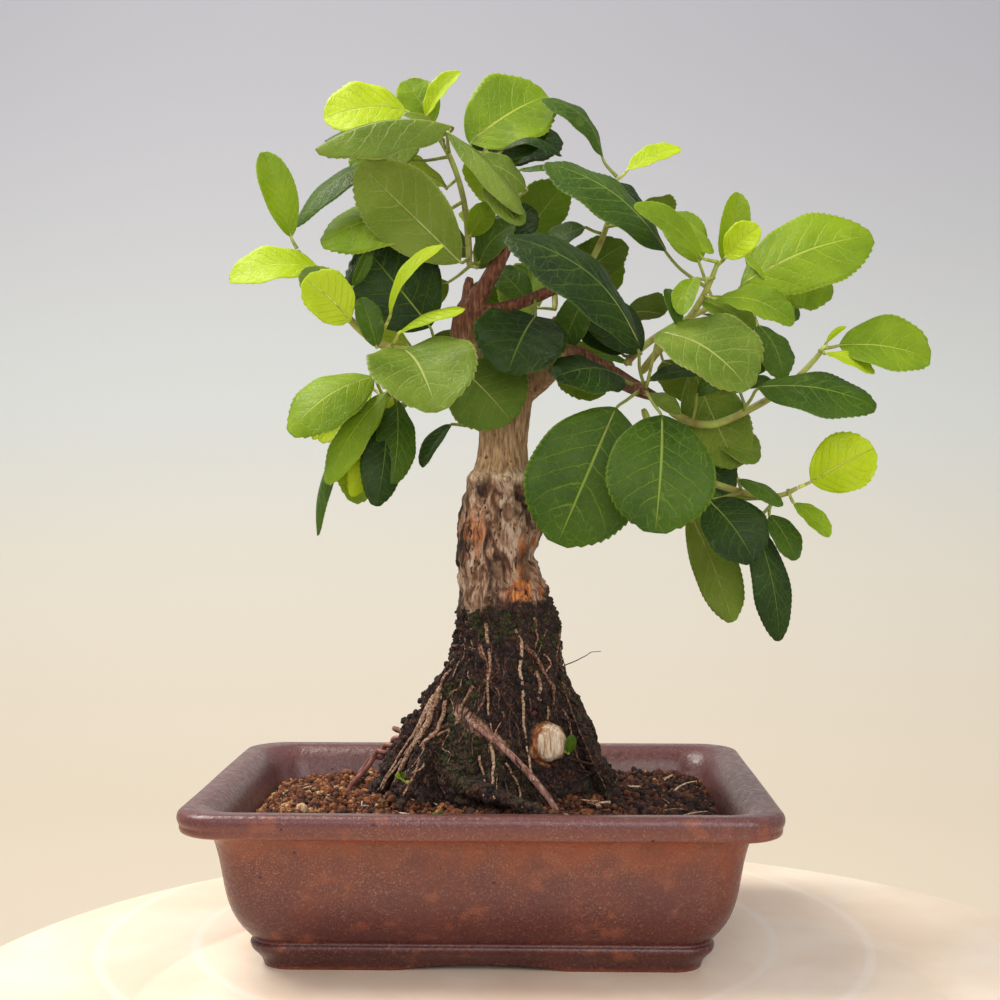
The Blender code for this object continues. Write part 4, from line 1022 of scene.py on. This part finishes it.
def blade_top(centres, halves, lifts, ups):
    """The upper side of a blade: its points in rows, each row's way up, where each point is on the leaf, and
    the leaf's size against a middling one."""
    length = sum(np.linalg.norm(b - a) for a, b in zip(np.array(centres), np.array(centres)[1:]))
    rows = len(TOOTH_SAW) * max(int(length / TOOTH), FEWEST_TEETH) + 1
    along = np.linspace(0.0, 1.0, rows)
    groups = centres, halves, lifts, ups
    middle, half, lift, up = (through(BLADE_STATIONS, group, along) for group in groups)
    up = unit(up)
    ahead = unit(np.gradient(middle, axis=0))
    wide = np.linalg.norm(half, axis=1)
    rounding = np.sqrt(1 - (1 - np.minimum(along / 0.08, 1)) ** 2) * 0.97 + 0.03
    rounding *= np.sqrt(1.0004 - np.clip((along - END_ROUND) / (1 - END_ROUND), 0, 1) ** 2)
    half *= rounding[:, None]
    lift *= rounding[:, None]
    size = min(wide.max() / MIDDLING_HALF, 1.2)
    saw = TOOTH_SAW[np.arange(rows) % len(TOOTH_SAW)] * step(along, 0.05, 0.2)
    tooth = 0.3 * size * saw / np.maximum(wide, 0.6)
    waves, start = chance.uniform(2.0, 3.4), chance.uniform(0, math.tau)
    height = chance.uniform(0.25, 0.7) * size
    s, v = along[:, None], np.linspace(-1.0, 1.0, LEAF_COLUMNS)[None, :]
    u = np.abs(v)
    on_edge = u > 0.999
    count = VEINS * (s - VEIN_LEAN * u ** VEIN_BEND)
    pucker = 0.34 * size * (np.abs(np.sin(math.pi * count)) ** 0.7 - 0.6) * (1 - v ** 4) * step(u, 0.0, 0.3)
    ruffle = height * np.sin(waves * math.tau * s + start + 1.7 * (v > 0)) * v ** 2
    rise = (pucker + ruffle) * step(s, 0.0, 0.12) * step(-s, -1.0, -0.9)
    spread = v * (1 + tooth[:, None] * on_edge)
    top = middle[:, None] + half[:, None] * spread[:, :, None] + lift[:, None] * (u ** 1.35)[:, :, None]
    hooks = 0.5 * size * saw[:, None] * on_edge
    top += up[:, None] * rise[:, :, None] + ahead[:, None] * hooks[:, :, None]
    places = np.stack(np.broadcast_arrays((v + 1) / 2, s), axis=2).reshape(-1, 2)
    return top, up, places, size


def blade_bottom(top, up):
    """The underside of a blade, thinner towards its edges."""
    facing = np.cross(np.gradient(top, axis=1), np.gradient(top, axis=0))
    facing /= np.maximum(np.linalg.norm(facing, axis=2), 1e-9)[:, :, None]
    facing *= np.sign((facing * up[:, None]).sum(axis=2))[:, :, None]
    thick = BLADE_THICK * (1 - 0.6 * np.linspace(-1.0, 1.0, LEAF_COLUMNS) ** 4)
    return top - facing * thick[None, :, None]


def blade_faces(rows, columns):
    """The faces of a blade's upper side, of its underside and of the edge between them."""
    total = rows * columns
    upper = grid_faces(rows, columns)
    under = [[a + total for a in reversed(face)] for face in upper]
    ring = [*range(columns), *range(2 * columns - 1, total, columns),
            *range(total - 2, total - columns - 1, -1), *range(total - 2 * columns, 0, -columns)]
    edge = [[b, a, a + total, b + total] for a, b in zip(ring, ring[1:] + ring[:1])]
    return upper, under, edge


def leaf_rib(stalk, centres, ups, size):
    """The stalk and the midrib as one tapered tube."""
    root = stalk[0] - STALK_SUNK * unit(stalk[1] - stalk[0])
    line = [(*root, 0.95 * STALK), (*stalk[1], 0.8 * STALK), (*stalk[2], 0.75 * STALK)]
    shares = np.linspace(0.06, 0.94, 9)
    below = through(BLADE_STATIONS, centres, shares) - through(BLADE_STATIONS, ups, shares) * RIB_SUNK
    line += [(*place, STALK * size ** 0.5 * (0.62 - 0.5 * share)) for place, share in zip(below, shares)]
    return tube(curve(line, 34), 8)


def make_leaf(name, tone, blade, replaced=()):
    """A leaf: a thin toothed blade, puckered between its veins, and its rib."""
    stalk, centres, halves, lifts, ups = blade
    top, up, places, size = blade_top(centres, halves, lifts, ups)
    upper, under, edge = blade_faces(*top.shape[:2])
    rib_points, rib = leaf_rib(stalk, centres, ups, size)
    points = np.concatenate([top.reshape(-1, 3), blade_bottom(top, up).reshape(-1, 3), rib_points])
    uv = np.concatenate([places, places, np.tile((0.5, 0.5), (len(rib_points), 1))])
    faces = upper + under + edge + [[a + 2 * len(places) for a in face] for face in rib]
    choice = [0] * len(upper) + [1] * (len(under) + len(edge)) + [2] * len(rib)
    show(name, f"leaf_{tone}", points, faces, leaf_finishes[tone], replaced, uv=uv, choice=choice)


# Leaves too small, too curled or too crowded for the CAD model: (base, tip, width, upward, arch, cup, tone).
SMALL_LEAVES = {
    "crown_left": [
        ((-18, 0, 275), (-28, 4, 291), 14, (0.2, -0.9, 0.2), 1.5, 0.2, "young"),
        ((-20, -6, 276), (-8, -10, 290), 9, (-0.5, -0.8, 0.3), 2, 0.4, "bright"),
        ((-23, 2, 270), (-45, -4, 256), 21, (0, -0.8, 0.5), 3, 0.1, "young"),
        ((-14, -8, 268), (-27, -13, 275), 7, (0.2, -0.6, 0.8), 1.5, 0.3, "pale"),
        ((1, 6, 238), (-9, 10, 247), 9, (0.3, -0.8, 0.5), 1.5, 0.2, "bright"),
    ],
    "crown_middle": [
        ((-3, 10, 265), (21, 8, 275), 18, (0, -0.9, 0.4), 3, 0.1, "dark"),
        ((-4, 12, 262), (12, 14, 279), 20, (0.2, -0.9, 0.3), 3, 0.1, "mid"),
        ((14, -12, 250), (-3, -20, 258), 15, (0, -0.8, 0.6), 3, -0.1, "pale"),
        ((12, -2, 259), (40, -12, 248), 7, (0, -0.3, 0.95), 5, -0.3, "dark"),
        ((-12, -18, 268), (13, -28, 239), 12, (0.5, -0.7, 0.5), 3, -0.4, "pale"),
        ((-5, -2, 237), (2, -6, 247), 9, (0.2, -0.9, 0.2), 1.5, 0.2, "young"),
        ((6, 4, 233), (16, 2, 247), 16, (-0.3, -0.9, 0.2), 3, 0.1, "dark"),
        ((-2, 0, 228), (10, -6, 240), 14, (-0.5, -0.8, 0.2), 3, 0.2, "mid"),
        ((5, 3, 266), (26, -2, 263), 8, (0, -0.5, 0.9), 6, -0.3, "dark"),
        ((0, -14, 258), (11, -20, 246), 11, (0.3, -0.6, 0.7), 3, -0.7, "pale"),
        ((0, -18, 250), (13, -26, 236), 10, (0.2, -0.8, 0.5), 2, -0.2, "pale"),
        ((-3, 0, 226), (7, 6, 242), 10, (-0.3, 0.9, 0.2), 2, 0.2, "pale"),
    ],
    "crown_right": [
        ((49, 14, 262), (68, 20, 271), 10, (0, -0.7, 0.7), 2, 0.1, "bright"),
        ((40, 10, 256), (56, 16, 248), 14, (0.2, -0.7, 0.7), 3, -0.2, "dark"),
        ((34, 2, 240), (20, 6, 232), 13, (-0.1, -0.7, 0.7), 2, 0.1, "mid"),
    ],
    "right_high": [
        ((71, -16, 213), (88, -22, 202), 13, (0.2, -0.7, 0.6), 2, 0.1, "young"),
        ((73, 4, 228), (64, 10, 246), 14, (0, -0.9, 0.3), 3, 0.1, "young"),
        ((73, 4, 198), (87, 0, 184), 15, (0.2, -0.8, 0.4), 3, 0.1, "mid"),
        ((54, -16, 240), (74, -28, 226), 10, (0.3, -0.7, 0.6), 4, -0.2, "young"),
        ((79, -10, 227), (84, -12, 249), 11, (0.3, -0.9, 0.1), 2, 0.4, "young"),
        ((78, -28, 225), (88, -34, 234), 11, (-0.1, -0.9, 0.3), 1.5, 0.2, "bright"),
        ((62, -36, 202), (58, -36, 214), 7, (0.5, -0.8, 0.2), 1, 0.3, "mid"),
        ((68, -30, 218), (63, -40, 205), 9, (-0.4, -0.8, 0.3), 2, 0.3, "young"),
        ((72, -14, 204), (90, -20, 195), 12, (0.2, -0.7, 0.6), 2, 0.1, "mid"),
    ],
    "right_far": [
        ((88, 0, 232), (102, -6, 219), 14, (0.1, -0.8, 0.6), 2, 0.1, "young"),
        ((80, 0, 205), (94, -4, 190), 14, (0.2, -0.9, 0.3), 3, -0.1, "mid"),
        ((100, 14, 218), (109, 16, 210), 8, (0.2, -0.8, 0.4), 1.5, -0.1, "mid"),
        ((87, 8, 186), (99, 10, 188), 6, (0, -0.8, 0.6), 1, 0.1, "mid"),
        ((76, 16, 212), (90, 26, 204), 13, (0.1, -0.3, 0.9), 2, 0, "dark"),
        ((92, 10, 224), (101, 14, 236), 8, (-0.2, -0.9, 0.3), 1, 0.3, "young"),
    ],
    "right": [
        ((112, -18, 195), (127, -22, 188), 8, (0.1, -0.6, 0.8), 1.5, 0.1, "bright"),
        ((113, -14, 199), (119, -16, 204), 3, (-0.4, -0.8, 0.5), 0.6, 0.5, "bright"),
        ((71, -8, 182), (84, -14, 190), 9, (-0.2, -0.8, 0.5), 1.5, 0.2, "mid"),
        ((55, -6, 187), (74, -4, 190), 9, (0, -0.6, 0.8), 2, 0.1, "dark"),
    ],
    "right_low": [
        ((78, 6, 171), (93, 2, 160), 13, (0.2, -0.8, 0.4), 2, 0.1, "pale"),
        ((95, -9, 142), (103, -14, 127), 10, (0.3, -0.9, 0.2), 2, 0.1, "mid"),
        ((102, -16, 146), (112, -24, 135), 8, (0.2, -0.8, 0.6), 1.5, 0.2, "young"),
        ((84, -14, 154), (97, -24, 145), 8, (0.2, -0.7, 0.7), 2, -0.3, "mid"),
        ((95, 0, 147), (80, 4, 147), 7, (0, 0.4, 0.9), 1, 0.1, "pale"),
        ((76, 8, 150), (90, 16, 136), 13, (0.3, -0.5, 0.6), 3, -0.1, "mid"),
    ],
    "left": [
        ((-45, -22, 209), (-59, -28, 221), 13, (0.2, -0.9, 0.3), 2, 0.1, "pale"),
        ((-46, -18, 216), (-60, -24, 220), 10, (0.2, -0.8, 0.6), 1.5, 0.2, "young"),
        ((-44, -13, 218), (-38, -14, 231), 5, (0.6, -0.7, 0.2), 1, 0.3, "mid"),
        ((-30, -26, 207), (-12, -34, 228), 9, (-0.5, -0.6, 0.6), 4, 0.3, "bright"),
        ((-27, -28, 201), (-5, -40, 207), 9, (-0.1, -0.6, 0.8), 3, -0.3, "bright"),
        ((-35, -22, 197), (-40, -24, 213), 9, (0.3, -0.9, 0.2), 1.5, 0.2, "mid"),
    ],
    "left_low": [
        ((-32, -14, 183), (-51, -24, 152), 13, (-0.3, -0.8, 0.4), 4, -0.2, "young"),
        ((-31, -10, 182), (-44, -16, 148), 11, (0.3, -0.9, 0.2), 4, -0.3, "bright"),
        ((-30, -8, 181), (-30, -22, 152), 14, (0.4, -0.9, 0.2), 4, -0.2, "mid"),
        ((-39, 0, 185), (-57, 0, 167), 14, (-0.3, -0.8, 0.3), 2, 0.1, "bright"),
        ((-34, -4, 180), (-50, -6, 153), 16, (-0.2, -0.9, 0.3), 3, 0.1, "bright"),
        ((-53, 10, 180), (-61, 12, 168), 6, (-0.2, -0.8, 0.4), 1, 0.1, "bright"),
        ((-12, 6, 173), (-22, 4, 158), 8, (-0.5, -0.7, 0.3), 1.5, 0.4, "dark"),
        ((-20, 10, 190), (-32, 18, 174), 14, (-0.3, -0.4, 0.7), 3, -0.1, "mid"),
    ],
    "limb_right": [
        ((53, 2, 197), (36, 6, 213), 17, (0.1, -0.9, 0.3), 3, 0.1, "dark"),
        ((31, 6, 216), (47, 2, 202), 15, (0.2, -0.8, 0.5), 3, -0.1, "dark"),
        ((35, -4, 218), (26, -2, 198), 12, (-0.2, -0.9, 0.2), 2, 0.1, "mid"),
        ((47, 6, 197), (31, 10, 212), 15, (0.1, -0.9, 0.4), 3, -0.1, "dark"),
        ((50, 12, 194), (37, 12, 196), 6, (0, -0.5, 0.9), 1, 0.2, "mid"),
        ((54, -14, 182), (64, -20, 175), 7, (0.2, -0.8, 0.5), 1, 0.2, "pale"),
        ((15, 12, 215), (3, 16, 228), 12, (0.2, -0.9, 0.3), 2, 0.1, "mid"),
    ],
    "back": [
        ((30, 40, 222), (50, 36, 240), 20, (0.1, 0.5, 0.8), 4, 0.1, "dark"),
        ((12, 38, 240), (28, 36, 262), 20, (-0.2, 0.8, 0.5), 3, 0.2, "mid"),
        ((-6, 30, 236), (-30, 36, 244), 20, (-0.1, 0.6, 0.8), 4, 0.0, "dark"),
        ((-14, 20, 224), (-38, 30, 214), 22, (-0.2, 0.6, 0.7), 4, -0.2, "mid"),
        ((-6, 22, 208), (-20, 34, 188), 20, (-0.3, 0.8, 0.3), 4, -0.1, "dark"),
        ((28, 34, 204), (40, 44, 184), 22, (0.2, 0.9, 0.2), 4, -0.1, "mid"),
        ((44, 22, 208), (64, 36, 214), 22, (0.2, 0.5, 0.8), 4, 0.1, "dark"),
        ((62, 20, 196), (78, 34, 182), 20, (0.3, 0.7, 0.5), 4, -0.2, "mid"),
        ((-14, 12, 256), (-34, 24, 264), 18, (-0.1, 0.5, 0.9), 3, 0.1, "young"),
        ((48, 14, 246), (66, 30, 250), 18, (0.2, 0.5, 0.8), 3, 0.0, "mid"),
        ((18, 30, 216), (4, 40, 230), 20, (-0.1, 0.9, 0.4), 3, 0.1, "mid"),
        ((70, 12, 174), (86, 26, 166), 18, (0.2, 0.7, 0.6), 3, -0.1, "dark"),
        ((-26, 12, 200), (-44, 22, 204), 18, (-0.1, 0.6, 0.8), 3, 0.1, "young"),
    ],
}

SPROUT_STALK = 1.5

# Seedlings and weeds in the soil: (base, tip, width, upward, arch, cup, tone).
SPROUTS = [
    ((35, -26, 62), (36, -28, 68.5), 3.6, (0.2, -1, 0.1), 0.6, 0.1, "mid"),
    ((-29, -26, 58), (-27.4, -27, 60), 1.8, (-0.2, -1, 0.4), 0.3, 0.2, "mid"),
    ((-29, -26, 58), (-30.8, -27, 59.4), 1.6, (0.1, -1, 0.5), 0.3, 0.2, "young"),
    ((-14, -38, 52), (-12.2, -39, 53.6), 1.8, (0, -1, 0.5), 0.3, 0.2, "mid"),
    ((-14, -38, 52), (-15.6, -39, 53.2), 1.6, (0, -1, 0.6), 0.3, 0.2, "young"),
    ((-44, -44, 46), (-42, -45.4, 47), 2.0, (0, -0.6, 1), 0.3, 0.1, "young"),
    ((-44, -44, 46), (-45.8, -45, 46.6), 1.8, (0, -0.6, 1), 0.3, 0.1, "mid"),
]


def nodes_called(start):
    """The CAD nodes whose names have this start."""
    return [node for node in sorted(frame["nodes"]) if node.startswith(start)]


def make_leaves():
    """The CAD model's leaves, the leaves that stand only here, and the seedlings."""
    slots = {part["node"]: part["material_slot"] for part in frame["record"]["subparts"]}
    for node in nodes_called("leaf_"):
        tone = slots[node][len("leaf_"):]
        make_leaf("blade" + node[len("leaf"):], tone, cad_blade(node), [node])
    shoots = [node_mesh(node) for node in nodes_called("shoot_")]
    carriers = surface(*joined([node_mesh("trunk"), *shoots]))
    ground = surface(*joined([node_mesh("trunk"), node_mesh("soil")]))
    groups = [(carriers, "small_leaf_" + shoot, leaves) for shoot, leaves in SMALL_LEAVES.items()]
    for holder, prefix, leaves in [*groups, (ground, "sprout", SPROUTS)]:
        for number, (base, tip, width, upward, arch, cup, tone) in enumerate(leaves, 1):
            root = holder.find_nearest(Vector(base))[0]
            if holder is ground:
                closer = root.lerp(Vector(base), min(SPROUT_STALK / (Vector(base) - root).length, 1.0))
                tip = closer + Vector(tip) - Vector(base)
                base = closer
            make_leaf(f"{prefix}_{number}", tone, free_blade(root, base, tip, width, upward, arch, cup))


# ---------------------------------------------------------------- build

soil = soil_finish()
thin_root = root_finish()
leaf_finishes = {tone: [leaf_finish(tone, "upper"), leaf_finish(tone, "under"), stalk_finish(tone)]
                 for tone in LEAF_TONES}
make_pot()
make_soil()
make_crumbs()
make_litter()
wood = make_trunk()
make_fibres(wood)
make_root_crumbs(wood)
green = shoot_finish()
for node in nodes_called("shoot_"):
    make_round("green_" + node, "green_shoot", node, green, SHOOT_RADIUS)
make_round("tie_wire_round", "copper_wire", "tie_wire", wire_finish(), WIRE_RADIUS)
plastic = plastic_finish()
for node in nodes_called("drain_mesh_"):
    frame["nodes"][node].data.materials.clear()
    frame["nodes"][node].data.materials.append(plastic)
make_leaves()


# ---------------------------------------------------------------- floor, backdrop, light and camera

FLOOR_RINGS = (97.0, 128.0)  # faint rings worn into the turntable
FLOOR_MIDDLE = (20.0, -68.0)
FLOOR_RADIUS = 187.0
FLOOR_SIDES = 180
# The turntable from the middle of its underside to the middle of its top, rows of (radius, height).
FLOOR_PROFILE = [(0.01, -14), (FLOOR_RADIUS - 3, -14), (FLOOR_RADIUS - 0.5, -12), (FLOOR_RADIUS, -8),
                 (FLOOR_RADIUS, -3), (FLOOR_RADIUS - 0.8, -0.8), (FLOOR_RADIUS - 2.6, 0.0),
                 (0.66 * FLOOR_RADIUS, 0.0), (0.655 * FLOOR_RADIUS, -0.5), (0.64 * FLOOR_RADIUS, -0.5),
                 (0.635 * FLOOR_RADIUS, 0.0), (0.01, 0)]
# The backdrop from below the turntable to its top, rows of (y, height).
BACKDROP_PROFILE = [(-900, -420), (700, -420), (1000, -380), (1150, -200), (1180, 200), (1180, 2200)]
BACKDROP_HALF = 2600
BACKDROP_COLUMNS = 9
LIGHT_AIM = Vector((0.0, 0.0, 0.15))
SKY_COLOUR = (0.96, 0.96, 1.0, 1.0)
SKY_STRENGTH = 0.64
LENS = 54.6
SENSOR = 36.0
CAMERA_PLACE = np.array((17.5, -517.2, 150.0))
CAMERA_TILT = 0.34  # degrees down from level
CAMERA_PAN = 1.4  # degrees to the left


def staged(name, points, faces, finish):
    """A piece that stands only in the picture."""
    mesh = new_mesh(name, points, faces)
    mesh.materials.append(finish)
    mesh.shade_smooth()
    link(name, mesh)


def floor_finish():
    """Pale worn stone with faint rings round the pot."""
    f = Finish("pale_floor")
    stains = f.noise(0.02, 5.0)
    colour = f.mix(f.span(stains, 0.35, 0.7), screen(238, 214, 188), screen(248, 230, 208))
    out = f.add("ShaderNodeVectorMath", {0: f.place, 1: (*(POT_MIDDLE[:2]), 0.0)}, 1, operation="DISTANCE")
    for radius in FLOOR_RINGS:
        ring = f.span(f.math("ABSOLUTE", f.minus(out, radius)), 2.4, 0.8)
        colour = f.tint(colour, f.times(ring, 0.3), 252, 244, 232)
    return f.done(colour, f.span(f.noise(0.1), 0.3, 0.7, 0.45, 0.6), f.bump(f.noise(0.8, 3.0), 0.05))


def backdrop_finish():
    """A plain wall, warm below and cool above."""
    f = Finish("backdrop")
    level = f.math("DIVIDE", f.height, 1000.0)
    colour = f.ramp(f.span(level, -0.35, 0.75), (0.0, 224, 211, 190), (0.34, 214, 211, 200),
                    (0.56, 202, 207, 207), (1.0, 176, 176, 184))
    return f.done(colour, 1.0, f.bump(f.noise(0.01), 0.1))


def make_stage():
    """The round turntable under the pot, and the backdrop."""
    turns = np.linspace(0, math.tau, FLOOR_SIDES, endpoint=False)
    rings = [np.stack([FLOOR_MIDDLE[0] + radius * np.cos(turns), FLOOR_MIDDLE[1] + radius * np.sin(turns),
                       np.full(FLOOR_SIDES, height)], axis=1) for radius, height in FLOOR_PROFILE]
    faces = grid_faces(len(rings), FLOOR_SIDES, closed=True)
    staged("pale_turntable", np.concatenate(rings), faces, floor_finish())
    columns = np.linspace(-BACKDROP_HALF, BACKDROP_HALF, BACKDROP_COLUMNS)
    wall = [(x, y, z) for y, z in BACKDROP_PROFILE for x in columns]
    staged("backdrop", wall, grid_faces(len(BACKDROP_PROFILE), BACKDROP_COLUMNS), backdrop_finish())


def lamp(name, place, strength, size, colour):
    """A round soft light aimed at the tree. Its place and size are in metres."""
    data = bpy.data.lights.new(name, "AREA")
    data.energy = strength
    data.color = colour
    data.shape = "DISK"
    data.size = size
    made = link(name, data)
    made.location = place
    made.rotation_euler = (LIGHT_AIM - Vector(place)).to_track_quat("-Z", "Y").to_euler()


def make_sky():
    """Even, slightly cool light from all round."""
    world = bpy.data.worlds.new("studio")
    world.use_nodes = True
    inputs = world.node_tree.nodes["Background"].inputs
    inputs["Color"].default_value = SKY_COLOUR
    inputs["Strength"].default_value = SKY_STRENGTH
    bpy.context.scene.world = world


def make_camera():
    data = bpy.data.cameras.new("camera")
    data.lens = LENS
    data.sensor_width = SENSOR
    data.clip_start = 0.01
    made = link("camera", data)
    made.location = CAMERA_PLACE * MM + POT_MIDDLE * MM
    made.rotation_euler = (math.radians(90 - CAMERA_TILT), 0.0, math.radians(CAMERA_PAN))
    bpy.context.scene.camera = made


make_stage()
lamp("key", (-0.7, 0.1, 1.2), 19.0, 0.75, (1.0, 0.96, 0.89))
lamp("fill", (0.4, -1.4, 0.7), 13.0, 1.4, (1.0, 0.99, 0.97))
make_sky()
make_camera()
bpy.context.scene.view_settings.view_transform = "Standard"
